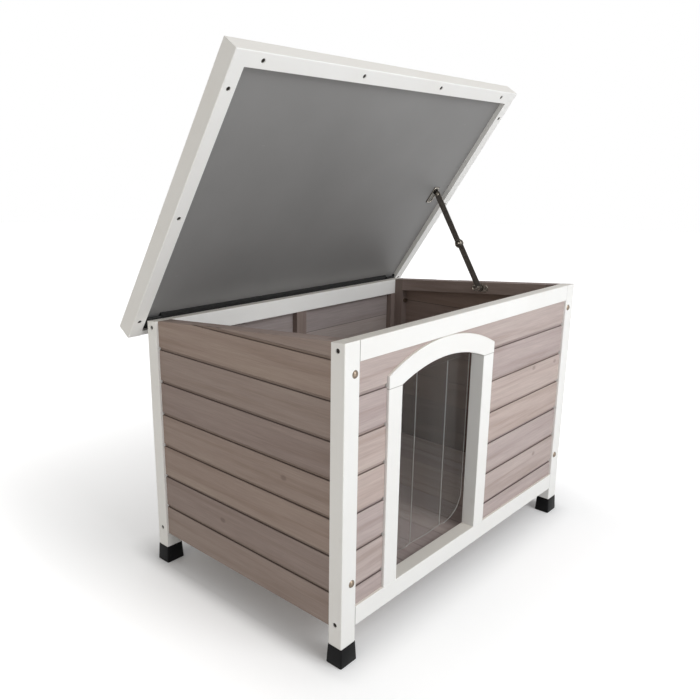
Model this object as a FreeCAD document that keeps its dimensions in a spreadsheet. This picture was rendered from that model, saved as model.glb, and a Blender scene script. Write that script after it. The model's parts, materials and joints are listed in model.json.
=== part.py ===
"""Timber dog house with a sloping, framed lid.

Four posts in foot caps are joined by rails.  Tongued and grooved planks with a wide
channel at every joint close the four walls.  The front wall has a doorway under a
shallow arch, closed by three clear flap strips that swing both ways.  The lid turns
on two butt hinges behind the rear posts and is held open by a folding stay whose two
links lie in one straight line when the lid is up.

Frame: millimetres, +Z up.  The doorway faces -Y, the hinges are on the +Y side, and +X
is to the right of someone who looks at the doorway from outside.  The walls are drawn
about the middle of the posts; every piece is then moved along Y by the same amount, so
that the origin lies on the ground at the middle of the whole outline with the lid open.
"""
import FreeCAD, Part
import math
import os
import re

import Sketcher

Vector = FreeCAD.Vector

SIZES = (
    ("body_width", 786, "outer faces of the posts, left to right"),
    ("body_depth", 514, "outer faces of the posts, front to rear"),
    ("front_height", 558, "ground to the top edge of the front wall"),
    ("rear_height", 513, "ground to the top edge of the rear wall"),
    ("post_width", 35, "post, along the front"),
    ("post_depth", 29, "post and rail, front to rear"),
    ("top_rail_height", 34.5, "front and rear top rails at their outer face"),
    ("bottom_rail_height", 36, "front and rear bottom rails"),
    ("bottom_rail_lift", 64, "ground to the underside of the bottom rails"),
    ("timber_round", 1.5, "radius along the edges of the timbers"),
    ("cap_height", 35, "foot cap"),
    ("cap_floor", 4, "thickness under the end of the post"),
    ("cap_wall", 1.1, "wall of the cap at its rim"),
    ("cap_flare", 2.8, "wall of the cap at the ground"),
    ("plank_pitch", 66.6, "cover width of one plank"),
    ("plank_thick", 10, "plank"),
    ("plank_recess", 5, "planks behind the outer faces of the posts"),
    ("channel_width", 6, "channel at each joint"),
    ("channel_depth", 3.5, "channel at each joint"),
    ("plank_bevel", 0.8, "bevel along the lips of a channel"),
    ("tongue_height", 4, "tongue on the upper edge of a plank"),
    ("tongue_thick", 2.5, "tongue"),
    ("tongue_back", 2, "tongue to the inner face of the plank"),
    ("tongue_play", 0.15, "room round the tongue"),
    ("side_plank_start", 62, "ground to the lower edge of the side planks"),
    ("front_joint", 135, "ground to the lowest joint of the front planks"),
    ("rear_joint", 154.6, "ground to the lowest joint of the rear planks"),
    ("stile_width", 24, "upright battens inside the side walls"),
    ("top_batten_height", 28, "batten under the sloping edge of a side wall"),
    ("cleat_width", 17, "upright cleats behind the front and rear planks"),
    ("middle_cleat_width", 31, "cleat behind the middle of the rear planks"),
    ("middle_cleat_place", 2.5, "middle cleat, from the centre line"),
    ("floor_top", 88, "ground to the floor boards' upper face"),
    ("floor_joint", -39.6, "one joint of the floor boards, from the centre line"),
    ("bearer_height", 20, "bearers under the floor"),
    ("bearer_width", 30, "bearers under the floor"),
    ("door_inset", 240, "middle of the doorway, from the left post"),
    ("door_width", 258, "clear width of the doorway"),
    ("jamb_width", 36, "door jambs, and the arch at its feet"),
    ("arch_height", 61.5, "joint between jambs and arch, below the top rail"),
    ("arch_rise", 25, "inner curve of the arch"),
    ("arch_shoulder", 22, "straight outer end of the arch"),
    ("arch_gap", 0.3, "room round the arch"),
    ("arch_tip", 25, "top planks end this far from the middle of the doorway"),
    ("flap_width", 246, "the three flap strips together"),
    ("flap_middle", 96, "middle strip"),
    ("flap_slit", 1, "slit between strips"),
    ("flap_thick", 1.5, "clear sheet"),
    ("flap_lift", 25, "sill to the lower edge of the strips"),
    ("flap_corner", 50, "rounded lower corners"),
    ("flap_bend", 0.5, "bending line below the feet of the arch"),
    ("flap_gap", 0.3, "header sheet above the turning edge"),
    ("header_height", 53, "header sheet"),
    ("clamp_width", 270, "batten that clamps the header sheet"),
    ("clamp_height", 28, "same"),
    ("clamp_thick", 14, "same"),
    ("clamp_lift", 5, "same, above the inner top of the arch"),
    ("bolt_inset", 24, "frame bolts, in from the side faces of the posts"),
    ("bolt_low", 148, "ground to the lower bolts"),
    ("bolt_drop", 52, "upper bolts below the post top"),
    ("bolt_radius", 3, "shank"),
    ("bolt_head_radius", 6.8, "domed head"),
    ("bolt_head_rise", 3.5, "domed head"),
    ("bolt_play", 0.3, "hole round the shank"),
    ("nut_flats", 10, "across flats"),
    ("nut_thick", 5, "nut"),
    ("bolt_end", 3, "shank beyond the nut"),
    ("screw_radius", 2, "shank of the wood screws"),
    ("screw_head_radius", 4, "countersunk head"),
    ("screw_head_depth", 2.6, "countersunk head"),
    ("screw_length", 60, "rail screws"),
    ("screw_play", 0.1, "hole round the shank"),
    ("screw_sink", 1.5, "screw heads below the surface"),
    ("recess_reach", 2.3, "arm of the cross recess in a screw head"),
    ("recess_width", 1.1, "cross recess"),
    ("recess_depth", 1.6, "cross recess"),
    ("screw_rise", 12, "lower rail screws above the rail's underside"),
    ("screw_drop", 12.5, "upper rail screws below the post top"),
    ("lid_side_gap", 2.5, "lid frame to the side of the house"),
    ("lid_rail_width", 27, "side rails of the lid"),
    ("lid_front_width", 27.5, "front rail of the lid"),
    ("lid_rear_width", 13, "rear rail of the lid"),
    ("lid_length", 604, "front to rear edge of the lid"),
    ("lid_thick", 35, "lid frame"),
    ("lid_round", 2, "radius along the outer edges of the lid"),
    ("lining_recess", 11, "lining above the frame's underside"),
    ("lining_thick", 4, "lining"),
    ("groove_depth", 5.5, "groove that holds the lining"),
    ("deck_thick", 6, "deck under the felt"),
    ("felt_thick", 2, "roofing felt"),
    ("lip_width", 10, "frame outside the deck"),
    ("rear_lip", 5, "rear rail outside the deck"),
    ("lid_batten_width", 30, "battens between lining and deck"),
    ("lid_batten_pitch", 147, "same, from one to the next"),
    ("lid_screw_rear", 40, "rearmost lid screw, from the rear edge"),
    ("lid_screw_pitch", 249, "lid screws along a side rail"),
    ("front_screw_pitch", 242, "lid screws along the front rail"),
    ("lid_screw_length", 29.5, "lid screws"),
    ("seal_front", 45.5, "seal strip, front edge from the lid's rear edge"),
    ("seal_thick", 5.5, "seal strip"),
    ("seal_end_gap", 0.5, "seal strip to the side rails"),
    ("seal_notch", 4.5, "notch round the hinge barrel, from its axis"),
    ("pin_stand_off", 3.5, "hinge axis behind the rear posts"),
    ("pin_rise", 2.5, "hinge axis above the rear edge"),
    ("pin_reach", 40.5, "hinge axis, from the lid's rear edge"),
    ("pin_level", 4, "hinge axis above the frame's underside"),
    ("lid_open_angle", 55.4, "lid above the horizontal when held open"),
    ("hinge_width", 30, "butt hinge"),
    ("leaf_thick", 1.5, "hinge leaf"),
    ("leaf_drop", 26, "leaf on the post, below the axis"),
    ("leaf_reach", 26, "leaf on the lid, behind the axis"),
    ("barrel_radius", 3, "hinge barrel"),
    ("pin_radius", 1.5, "hinge pin"),
    ("pin_play", 0.05, "hinge pin in the barrel"),
    ("pin_head_radius", 2.4, "ends of the hinge pin"),
    ("pin_head_thick", 0.8, "ends of the hinge pin"),
    ("knuckle_gap", 0.3, "between knuckles"),
    ("middle_knuckle", 10, "knuckle of the leaf on the lid"),
    ("stay_place", -33.5, "lower stay pivot, from the middle of the depth"),
    ("stay_drop", 13.4, "lower stay pivot below the wall's top edge"),
    ("stay_reach", 321.7, "upper stay pivot, from the lid's rear edge"),
    ("stay_lid_drop", 10, "upper stay pivot below the lining"),
    ("lower_link_length", 121, "lower link, pivot to knuckle"),
    ("link_thick", 2, "link"),
    ("link_width", 15, "link"),
    ("link_gap", 0.3, "between a link and what it turns against"),
    ("lower_knuckle_radius", 9, "lower link at the knuckle"),
    ("upper_knuckle_radius", 11, "upper link at the knuckle"),
    ("plate_thick", 1.5, "stay brackets"),
    ("boss_height", 3, "boss on the box bracket"),
    ("boss_radius", 6, "boss on the box bracket"),
    ("plate_length", 45, "lid bracket"),
    ("plate_rear", 32, "lid bracket, rear end from the pivot"),
    ("plate_width", 20, "lid bracket"),
    ("plate_outside", 6, "lid bracket, outer edge from its lug"),
    ("lug_radius", 6.5, "lug of the lid bracket"),
    ("box_plate_length", 44, "box bracket"),
    ("box_plate_height", 18, "box bracket"),
    ("rivet_radius", 3, "rivets of the stay"),
    ("rivet_play", 0.08, "rivets in their holes"),
    ("rivet_head_radius", 5.5, "rivet heads"),
    ("rivet_head_thick", 1.2, "rivet heads"),
    ("knuckle_head_radius", 9.5, "large head at the knuckle"),
    ("knuckle_head_thick", 2.2, "large head at the knuckle"),
)

# Places that several pieces share, in terms of the sizes above.
SIDE = "(body_width / 2)"
FRONT = "(-body_depth / 2)"
REAR = "(body_depth / 2)"
POST_SIDE = "(body_width / 2 - post_width)"
FRAME_FRONT = "(-body_depth / 2 + post_depth)"
FRAME_REAR = "(body_depth / 2 - post_depth)"
SIDE_BACKING = "(body_width / 2 - plank_recess - plank_thick)"
FRONT_BACKING = "(-body_depth / 2 + plank_recess + plank_thick)"
REAR_BACKING = "(body_depth / 2 - plank_recess - plank_thick)"
FRONT_RAIL_UNDERSIDE = "(front_height - top_rail_height)"
REAR_RAIL_UNDERSIDE = "(rear_height - top_rail_height)"
SILL = "(bottom_rail_lift + bottom_rail_height)"
FLOOR_UNDERSIDE = "(floor_top - plank_thick)"
POST_MIDDLE = "(body_depth / 2 - post_depth / 2)"
BOLT_X = "(body_width / 2 - bolt_inset)"
DOOR_MIDDLE = f"(door_inset - {POST_SIDE})"
DOOR_LEFT = f"({DOOR_MIDDLE} - door_width / 2)"
DOOR_RIGHT = f"({DOOR_MIDDLE} + door_width / 2)"
JAMB_TOP = f"({FRONT_RAIL_UNDERSIDE} - arch_height)"
ARCH_RISE_OUTSIDE = "(arch_height - arch_gap - arch_shoulder)"
BEND_LINE = f"({JAMB_TOP} - flap_bend)"
HINGE_X = "(body_width / 2 - post_width / 2)"
HINGE_Y = "(body_depth / 2 + pin_stand_off)"
HINGE_Z = "(rear_height + pin_rise)"
LID_INSIDE = "(body_width / 2 + lid_side_gap)"
LID_SIDE = "(body_width / 2 + lid_side_gap + lid_rail_width)"
LID_REAR = "pin_reach"
LID_FRONT = "(pin_reach - lid_length)"
LID_UNDERSIDE = "(-pin_level)"
LINING = "(lining_recess - pin_level)"
DECK = "(lid_thick - deck_thick - felt_thick - pin_level)"
STAY_LID_Y = "(pin_reach - stay_reach)"
STAY_LID_Z = "(lining_recess - stay_lid_drop - pin_level)"
LOWER_LINK_OUT = f"({POST_SIDE} - plate_thick - boss_height - link_gap)"
LOWER_LINK_IN = f"({LOWER_LINK_OUT} - link_thick)"
UPPER_LINK_OUT = f"({LOWER_LINK_IN} - rivet_head_thick - 2 * link_gap)"
UPPER_LINK_IN = f"({UPPER_LINK_OUT} - link_thick)"
LUG_IN = f"({UPPER_LINK_OUT} + link_gap)"


def wall_top(y):
    """Height of the sloping top edge of the walls at the place y."""
    return f"(rear_height + (front_height - rear_height) * (body_depth / 2 - ({y})) / body_depth)"


STAY_BOX_Z = f"({wall_top('stay_place')} - stay_drop)"
STAY_OPEN_Y = (
    f"({HINGE_Y} + {STAY_LID_Y} * cos(lid_open_angle) + {STAY_LID_Z} * sin(lid_open_angle))"
)
STAY_OPEN_Z = (
    f"({HINGE_Z} - {STAY_LID_Y} * sin(lid_open_angle) + {STAY_LID_Z} * cos(lid_open_angle))"
)
STAY_SPAN = f"hypot({STAY_OPEN_Y} - stay_place; {STAY_OPEN_Z} - {STAY_BOX_Z})"
STAY_ANGLE = f"atan2({STAY_OPEN_Z} - {STAY_BOX_Z}; {STAY_OPEN_Y} - stay_place)"
UPPER_LINK_LENGTH = f"({STAY_SPAN} - lower_link_length)"
LID_REARMOST = (
    f"({HINGE_Y} + pin_reach * cos(lid_open_angle)"
    " + (lid_thick - pin_level) * sin(lid_open_angle))"
)
SHIFT = f"(-({LID_REARMOST} + {FRONT} - bolt_head_rise) / 2)"

doc = FreeCAD.newDocument("DogHouse")
sheet = doc.addObject("Spreadsheet::Sheet", "Sizes")
for row, (alias, value, meaning) in enumerate(SIZES, start=1):
    sheet.set(f"A{row}", alias)
    sheet.set(f"B{row}", str(value))
    sheet.set(f"C{row}", meaning)
    sheet.setAlias(f"B{row}", alias)
doc.recompute()

ALIASES = {alias for alias, value, meaning in SIZES}
nodes = []


def bound(text):
    """The expression with every size's name turned into its cell of the sheet."""
    return re.sub(r"[a-z_]+", lambda word: "Sizes." + word[0] if word[0] in ALIASES else word[0], text)


def measure(text):
    """The present value of an expression in the sizes."""
    value = sheet.evalExpression(bound(text))
    return float(getattr(value, "Value", value))


def new_body(label):
    """An empty body, under the name of the piece."""
    body = doc.addObject("PartDesign::Body", label)
    body.Label = label
    body.AllowCompound = True
    return body


def origin_feature(body, role):
    """The body's own origin plane or axis with this role."""
    return next(feature for feature in body.Origin.OriginFeatures if feature.Role == role)


def flat_sketch(body, name, plane, offset):
    """An empty sketch on an origin plane, moved along the plane's normal."""
    sketch = body.newObject("Sketcher::SketchObject", f"{body.Name}_{name}")
    sketch.AttachmentSupport = [(origin_feature(body, plane + "_Plane"), "")]
    sketch.MapMode = "FlatFace"
    sketch.setExpression("AttachmentOffset.Base.z", bound(offset))
    return sketch


def arc_between(start, end, radius, side):
    """The shorter arc from start to end; side 1 bows to the right of that way, -1 left."""
    chord = end - start
    across = Vector(chord.y, -chord.x, 0).normalize() * side
    rise = radius - math.sqrt(max(radius * radius - chord.Length ** 2 / 4, 0))
    return Part.Arc(start, (start + end) / 2 + across * rise, end)


def outline(sketch, corners, bends=None):
    """A closed outline through the corners; bends gives (radius, side) of curved edges."""
    bends = bends or {}
    points = [Vector(measure(across), measure(up), 0) for across, up in corners]
    first = sketch.GeometryCount
    ends = []
    for index, start in enumerate(points):
        end = points[(index + 1) % len(points)]
        if index in bends:
            radius, side = bends[index]
            edge = sketch.addGeometry(arc_between(start, end, measure(radius), side))
            forward = sketch.getPoint(edge, 1).distanceToPoint(start) < sketch.getPoint(
                edge, 2).distanceToPoint(start)
            ends.append((1, 2) if forward else (2, 1))
        else:
            edge = sketch.addGeometry(Part.LineSegment(start, end))
            ends.append((1, 2))
    for index in range(len(points)):
        after = (index + 1) % len(points)
        sketch.addConstraint(Sketcher.Constraint(
            "Coincident", first + index, ends[index][1], first + after, ends[after][0]))
    for index, (across, up) in enumerate(corners):
        for kind, text, value in (("DistanceX", across, points[index].x), ("DistanceY", up, points[index].y)):
            number = sketch.addConstraint(Sketcher.Constraint(
                kind, -1, 1, first + index, ends[index][0], value))
            sketch.setExpression(f"Constraints[{number}]", bound(text))
    for index, (radius, side) in bends.items():
        number = sketch.addConstraint(Sketcher.Constraint("Radius", first + index, measure(radius)))
        sketch.setExpression(f"Constraints[{number}]", bound(radius))


def circles(sketch, centres, radius):
    """One circle of this radius at every centre."""
    for across, up in centres:
        centre = Vector(measure(across), measure(up), 0)
        ring = sketch.addGeometry(Part.Circle(centre, Vector(0, 0, 1), measure(radius)))
        for kind, text, value in (("DistanceX", across, centre.x), ("DistanceY", up, centre.y)):
            number = sketch.addConstraint(Sketcher.Constraint(kind, -1, 1, ring, 3, value))
            sketch.setExpression(f"Constraints[{number}]", bound(text))
        number = sketch.addConstraint(Sketcher.Constraint("Radius", ring, measure(radius)))
        sketch.setExpression(f"Constraints[{number}]", bound(radius))


def sweep_start(plane, start, length):
    """Offset of a sketch whose solid runs from start to start + length along its axis.

    The normal of the XZ plane points towards -Y, so that sketch lies at the far end.
    """
    return f"-(({start}) + ({length}))" if plane == "XZ" else start


def add_prism(body, name, plane, start, length, corners, bends=None):
    """Material over an outline, from start over length along the plane's axis."""
    sketch = flat_sketch(body, name + "_outline", plane, sweep_start(plane, start, length))
    outline(sketch, corners, bends)
    pad = body.newObject("PartDesign::Pad", f"{body.Name}_{name}")
    pad.Profile = sketch
    pad.setExpression("Length", bound(length))
    return pad


def add_discs(body, name, plane, start, length, centres, radius):
    """Round material at every centre."""
    sketch = flat_sketch(body, name + "_circles", plane, sweep_start(plane, start, length))
    circles(sketch, centres, radius)
    pad = body.newObject("PartDesign::Pad", f"{body.Name}_{name}")
    pad.Profile = sketch
    pad.setExpression("Length", bound(length))
    return pad


def cut_prism(body, name, plane, start, length, corners, bends=None):
    """Takes away what lies over an outline, along the plane's normal."""
    sketch = flat_sketch(body, name + "_outline", plane, sweep_start(plane, start, length))
    outline(sketch, corners, bends)
    pocket = body.newObject("PartDesign::Pocket", f"{body.Name}_{name}")
    pocket.Profile = sketch
    pocket.Reversed = True
    pocket.setExpression("Length", bound(length))
    return pocket


def cut_holes(body, name, plane, start, length, centres, radius):
    """Round holes at every centre, along the plane's normal."""
    sketch = flat_sketch(body, name + "_circles", plane, sweep_start(plane, start, length))
    circles(sketch, centres, radius)
    pocket = body.newObject("PartDesign::Pocket", f"{body.Name}_{name}")
    pocket.Profile = sketch
    pocket.Reversed = True
    pocket.setExpression("Length", bound(length))
    return pocket


def straight_edges(shape, wanted):
    """Names of the straight edges for which wanted(middle, direction) holds."""
    names = []
    for number, edge in enumerate(shape.Edges, start=1):
        start = edge.firstVertex().Point
        end = edge.lastVertex().Point
        if edge.Length - start.distanceToPoint(end) > 1e-6:
            continue
        if wanted((start + end) / 2, (end - start).normalize()):
            names.append(f"Edge{number}")
    return names


def round_edges(body, name, radius, wanted):
    """Rounds the straight edges that are wanted."""
    doc.recompute()
    base = body.Tip
    fillet = body.newObject("PartDesign::Fillet", f"{body.Name}_{name}")
    fillet.Base = (base, straight_edges(base.Shape, wanted))
    fillet.setExpression("Radius", bound(radius))


def round_curves(body, name, radius):
    """Rounds every curved edge of the body."""
    doc.recompute()
    base = body.Tip
    straight = set(straight_edges(base.Shape, lambda middle, direction: True))
    every = [f"Edge{number}" for number in range(1, len(base.Shape.Edges) + 1)]
    fillet = body.newObject("PartDesign::Fillet", f"{body.Name}_{name}")
    fillet.Base = (base, [edge for edge in every if edge not in straight])
    fillet.setExpression("Radius", bound(radius))


def bevel_edges(body, name, size, wanted):
    """Bevels the straight edges that are wanted."""
    doc.recompute()
    base = body.Tip
    chamfer = body.newObject("PartDesign::Chamfer", f"{body.Name}_{name}")
    chamfer.Base = (base, straight_edges(base.Shape, wanted))
    chamfer.setExpression("Size", bound(size))


def rectangle(left, right, low, high):
    """Corners of a rectangle, anticlockwise."""
    return [(left, low), (right, low), (right, high), (left, high)]


def along(axis):
    """A test for edges that run along one axis."""
    return lambda middle, direction: abs(getattr(direction, axis)) > 0.999


def fix_to_house(piece):
    """A piece that stands with the house: moved along Y only."""
    piece.setExpression("Placement.Base.y", bound(SHIFT))
    nodes.append(piece)


def fix_to_lid(piece):
    """A piece of the lid, drawn about the hinge axis and turned to the open angle."""
    piece.Placement = FreeCAD.Placement(
        Vector(0, measure(f"{HINGE_Y} + {SHIFT}"), measure(HINGE_Z)),
        FreeCAD.Rotation(Vector(-1, 0, 0), measure("lid_open_angle")))
    piece.setExpression("Placement.Base.y", bound(f"{HINGE_Y} + {SHIFT}"))
    piece.setExpression("Placement.Base.z", bound(HINGE_Z))
    piece.setExpression("Placement.Rotation.Angle", bound("lid_open_angle"))
    nodes.append(piece)


def fix_to_pivot(piece, y, z, angle):
    """A link drawn along +Y from its pivot, turned to its angle above the horizontal."""
    piece.Placement = FreeCAD.Placement(
        Vector(0, measure(f"{y} + {SHIFT}"), measure(z)),
        FreeCAD.Rotation(Vector(1, 0, 0), measure(angle)))
    piece.setExpression("Placement.Base.y", bound(f"{y} + {SHIFT}"))
    piece.setExpression("Placement.Base.z", bound(z))
    piece.setExpression("Placement.Rotation.Angle", bound(angle))
    nodes.append(piece)


def group(label, pattern, places):
    """Copies of one body at (x, y, z, turn about Z), as separate solids of one piece."""
    copies = []
    for number, (x, y, z, turn) in enumerate(places, start=1):
        copy = doc.addObject("App::Link", f"{label}_{number}")
        copy.LinkedObject = pattern
        copy.Placement = FreeCAD.Placement(
            Vector(measure(x), measure(y), measure(z)), FreeCAD.Rotation(Vector(0, 0, 1), turn))
        for axis, text in (("x", x), ("y", y), ("z", z)):
            copy.setExpression(f"Placement.Base.{axis}", bound(text))
        copies.append(copy)
    piece = doc.addObject("Part::Compound", label)
    piece.Label = label
    piece.Links = copies
    return piece


def post(label, side, end):
    """A post: its top follows the slope, its foot stands in a cap, its edges are eased."""
    body = new_body(label)
    near, far = (FRONT, FRAME_FRONT) if end < 0 else (FRAME_REAR, REAR)
    left = f"-{SIDE}" if side < 0 else POST_SIDE
    corners = [(near, "cap_floor"), (far, "cap_floor"), (far, wall_top(far)), (near, wall_top(near))]
    add_prism(body, "timber", "YZ", left, "post_width", corners)
    round_edges(body, "edges", "timber_round", along("z"))
    bolt_z = f"{wall_top(FRONT if end < 0 else REAR)} - bolt_drop"
    bolt_x = f"-{BOLT_X}" if side < 0 else BOLT_X
    cut_holes(body, "bolt_holes", "XZ", near, "post_depth",
              [(bolt_x, "bolt_low"), (bolt_x, bolt_z)], "bolt_radius + bolt_play")
    middle = f"-{POST_MIDDLE}" if end < 0 else POST_MIDDLE
    screws = [(middle, "bottom_rail_lift + screw_rise"), (middle, f"{wall_top(middle)} - screw_drop")]
    cut_holes(body, "screw_holes", "YZ", left, "post_width", screws, "screw_radius + screw_play")
    seat = "(screw_sink + screw_head_depth)"
    outer = f"-{SIDE}" if side < 0 else f"{SIDE} - {seat}"
    cut_holes(body, "screw_seats", "YZ", outer, seat, screws,
              "screw_head_radius + screw_play")
    fix_to_house(body)


def rail(label, end, low, high_at):
    """A front or rear rail between two posts, bored for the screws in its ends."""
    body = new_body(label)
    near, far = (FRONT, FRAME_FRONT) if end < 0 else (FRAME_REAR, REAR)
    corners = [(near, low), (far, low), (far, high_at(far)), (near, high_at(near))]
    add_prism(body, "timber", "YZ", f"-{POST_SIDE}", f"2 * {POST_SIDE}", corners)
    round_edges(body, "edges", "timber_round", along("x"))
    return body


def bore_rail_ends(body, end, height):
    """The screws enter both ends of a rail."""
    middle = f"-{POST_MIDDLE}" if end < 0 else POST_MIDDLE
    depth = "(screw_sink + screw_length - post_width + screw_play)"
    for name, start in (("left", f"-{POST_SIDE}"), ("right", f"{POST_SIDE} - {depth}")):
        cut_holes(body, "bore_" + name, "YZ", start, depth, [(middle, height)],
                  "screw_radius + screw_play")
    fix_to_house(body)


def make_rails():
    """Top rails follow the slope; bottom rails are square."""
    front_screw = f"{wall_top('-' + POST_MIDDLE)} - screw_drop"
    rear_screw = f"{wall_top(POST_MIDDLE)} - screw_drop"
    low_screw = "bottom_rail_lift + screw_rise"
    bore_rail_ends(rail("front_top_rail", -1, FRONT_RAIL_UNDERSIDE, wall_top), -1, front_screw)
    bore_rail_ends(rail("rear_top_rail", 1, REAR_RAIL_UNDERSIDE, wall_top), 1, rear_screw)
    bore_rail_ends(rail("front_bottom_rail", -1, "bottom_rail_lift", lambda y: SILL), -1, low_screw)
    bore_rail_ends(rail("rear_bottom_rail", 1, "bottom_rail_lift", lambda y: SILL), 1, low_screw)


def make_foot_caps():
    """Flared caps; each is a cup with the post's end in it."""
    cap = new_body("foot_cap_pattern")
    half_x = "(post_width / 2 + cap_flare)"
    half_y = "(post_depth / 2 + cap_flare)"
    shell = add_prism(cap, "shell", "XY", "0", "cap_height", rectangle(
        "-" + half_x, half_x, "-" + half_y, half_y))
    shell.setExpression("TaperAngle", bound("-atan((cap_flare - cap_wall) / cap_height)"))
    bevel_edges(cap, "edges", "timber_round", lambda middle, direction: abs(direction.z) > 0.9)
    cut_prism(cap, "socket", "XY", "cap_floor", "cap_height - cap_floor", rectangle(
        "-post_width / 2", "post_width / 2", "-post_depth / 2", "post_depth / 2"))
    x = f"({SIDE} - post_width / 2)"
    places = [(sx + x, sy + POST_MIDDLE, "0", 0) for sx in ("-", "") for sy in ("-", "")]
    fix_to_house(group("foot_caps", cap, places))


def plank_corners(face, inward, base):
    """Section of one plank: bevelled channel outside, tongue above and groove below.

    face is the place of the outer face, inward the sign of the way to the inner face,
    base the place of the joint below.
    """
    half = "channel_width / 2"
    tongue_in = "(plank_thick - tongue_back)"
    tongue_out = "(plank_thick - tongue_back - tongue_thick)"
    steps = [
        ("0", f"{half} + plank_bevel"),
        ("plank_bevel", half),
        ("channel_depth", half),
        ("channel_depth", "0"),
        (f"{tongue_out} - tongue_play", "0"),
        (f"{tongue_out} - tongue_play", "tongue_height + tongue_play"),
        (f"{tongue_in} + tongue_play", "tongue_height + tongue_play"),
        (f"{tongue_in} + tongue_play", "0"),
        ("plank_thick", "0"),
        ("plank_thick", "plank_pitch"),
        (tongue_in, "plank_pitch"),
        (tongue_in, "plank_pitch + tongue_height"),
        (tongue_out, "plank_pitch + tongue_height"),
        (tongue_out, "plank_pitch"),
        ("channel_depth", "plank_pitch"),
        ("channel_depth", f"plank_pitch - {half}"),
        ("plank_bevel", f"plank_pitch - {half}"),
        ("0", f"plank_pitch - {half} - plank_bevel"),
    ]
    sign = "+" if inward > 0 else "-"
    return [(f"{face} {sign} ({depth})", f"{base} + {up}") for depth, up in steps]


def lay_planks(body, plane, start, length, corners, direction, count):
    """One plank and its copies, joint on joint."""
    plank = add_prism(body, "plank", plane, start, length, corners)
    rows = body.newObject("PartDesign::LinearPattern", body.Name + "_rows")
    rows.Originals = [plank]
    rows.Direction = (origin_feature(body, direction), [""])
    rows.Mode = "Spacing"
    rows.setExpression("Offset", bound("plank_pitch"))
    rows.setExpression("Occurrences", bound(count))
    body.Tip = rows


def side_wall(label, side):
    """Planks from post to post; the slope cuts the upper ones to wedges."""
    body = new_body(label)
    face = f"-({SIDE} - plank_recess)" if side < 0 else f"({SIDE} - plank_recess)"
    count = "ceil((front_height - side_plank_start) / plank_pitch)"
    lay_planks(body, "XZ", FRAME_FRONT, "body_depth - 2 * post_depth",
               plank_corners(face, -side, "side_plank_start"), "Z_Axis", count)
    above = "(front_height + 2 * plank_pitch)"
    slope = [(FRONT, wall_top(FRONT)), (REAR, wall_top(REAR)), (REAR, above), (FRONT, above)]
    cut_prism(body, "slope", "YZ", f"-{SIDE}", "body_width", slope)
    fix_to_house(body)


def trim_rows(body, low, high, end):
    """Rips the lowest and highest planks of an end wall to the rails."""
    width = f"({SIDE})"
    start = FRONT if end < 0 else FRAME_REAR
    cut_prism(body, "below", "XZ", start, "post_depth",
              rectangle("-" + width, width, f"{low} - 2 * plank_pitch", low))
    cut_prism(body, "above", "XZ", start, "post_depth",
              rectangle("-" + width, width, high, f"{high} + 2 * plank_pitch"))


def end_rows(joint, high):
    """Number of planks from one pitch below the lowest joint to the top rail."""
    return f"ceil(({high} - {joint} + plank_pitch) / plank_pitch)"


def arch_corners(gap):
    """Outside of the doorway's surround, grown by a gap, from below the sill."""
    left = f"({DOOR_LEFT} - jamb_width - {gap})"
    right = f"({DOOR_RIGHT} + jamb_width + {gap})"
    shoulder = f"({JAMB_TOP} + arch_shoulder)"
    low = f"({SILL} - 2 * plank_pitch)"
    corners = [(left, low), (right, low), (right, shoulder), (left, shoulder)]
    return corners, arc_radius(f"(door_width / 2 + jamb_width + {gap})", f"({ARCH_RISE_OUTSIDE} + {gap})")


def arc_radius(half_span, rise):
    """Radius of an arc from its half span and rise."""
    return f"(({half_span} * {half_span} + {rise} * {rise}) / (2 * {rise}))"


def front_wall(label, side):
    """Planks beside the doorway, cut to the curve of the arch."""
    body = new_body(label)
    face = f"({FRONT} + plank_recess)"
    if side < 0:
        start = f"-{POST_SIDE}"
        length = f"({POST_SIDE} + {DOOR_MIDDLE} - arch_tip)"
    else:
        start = f"({DOOR_MIDDLE} + arch_tip)"
        length = f"({POST_SIDE} - {DOOR_MIDDLE} - arch_tip)"
    lay_planks(body, "YZ", start, length, plank_corners(face, 1, "(front_joint - plank_pitch)"),
               "Z_Axis", end_rows("front_joint", FRONT_RAIL_UNDERSIDE))
    trim_rows(body, SILL, FRONT_RAIL_UNDERSIDE, -1)
    corners, radius = arch_corners("arch_gap")
    cut_prism(body, "doorway", "XZ", FRONT, "post_depth", corners, {2: (radius, 1)})
    fix_to_house(body)


def rear_wall():
    """Planks across the whole rear wall."""
    body = new_body("rear_wall_planks")
    face = f"({REAR} - plank_recess)"
    lay_planks(body, "YZ", f"-{POST_SIDE}", f"2 * {POST_SIDE}",
               plank_corners(face, -1, "(rear_joint - plank_pitch)"),
               "Z_Axis", end_rows("rear_joint", REAR_RAIL_UNDERSIDE))
    trim_rows(body, SILL, REAR_RAIL_UNDERSIDE, 1)
    fix_to_house(body)


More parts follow.
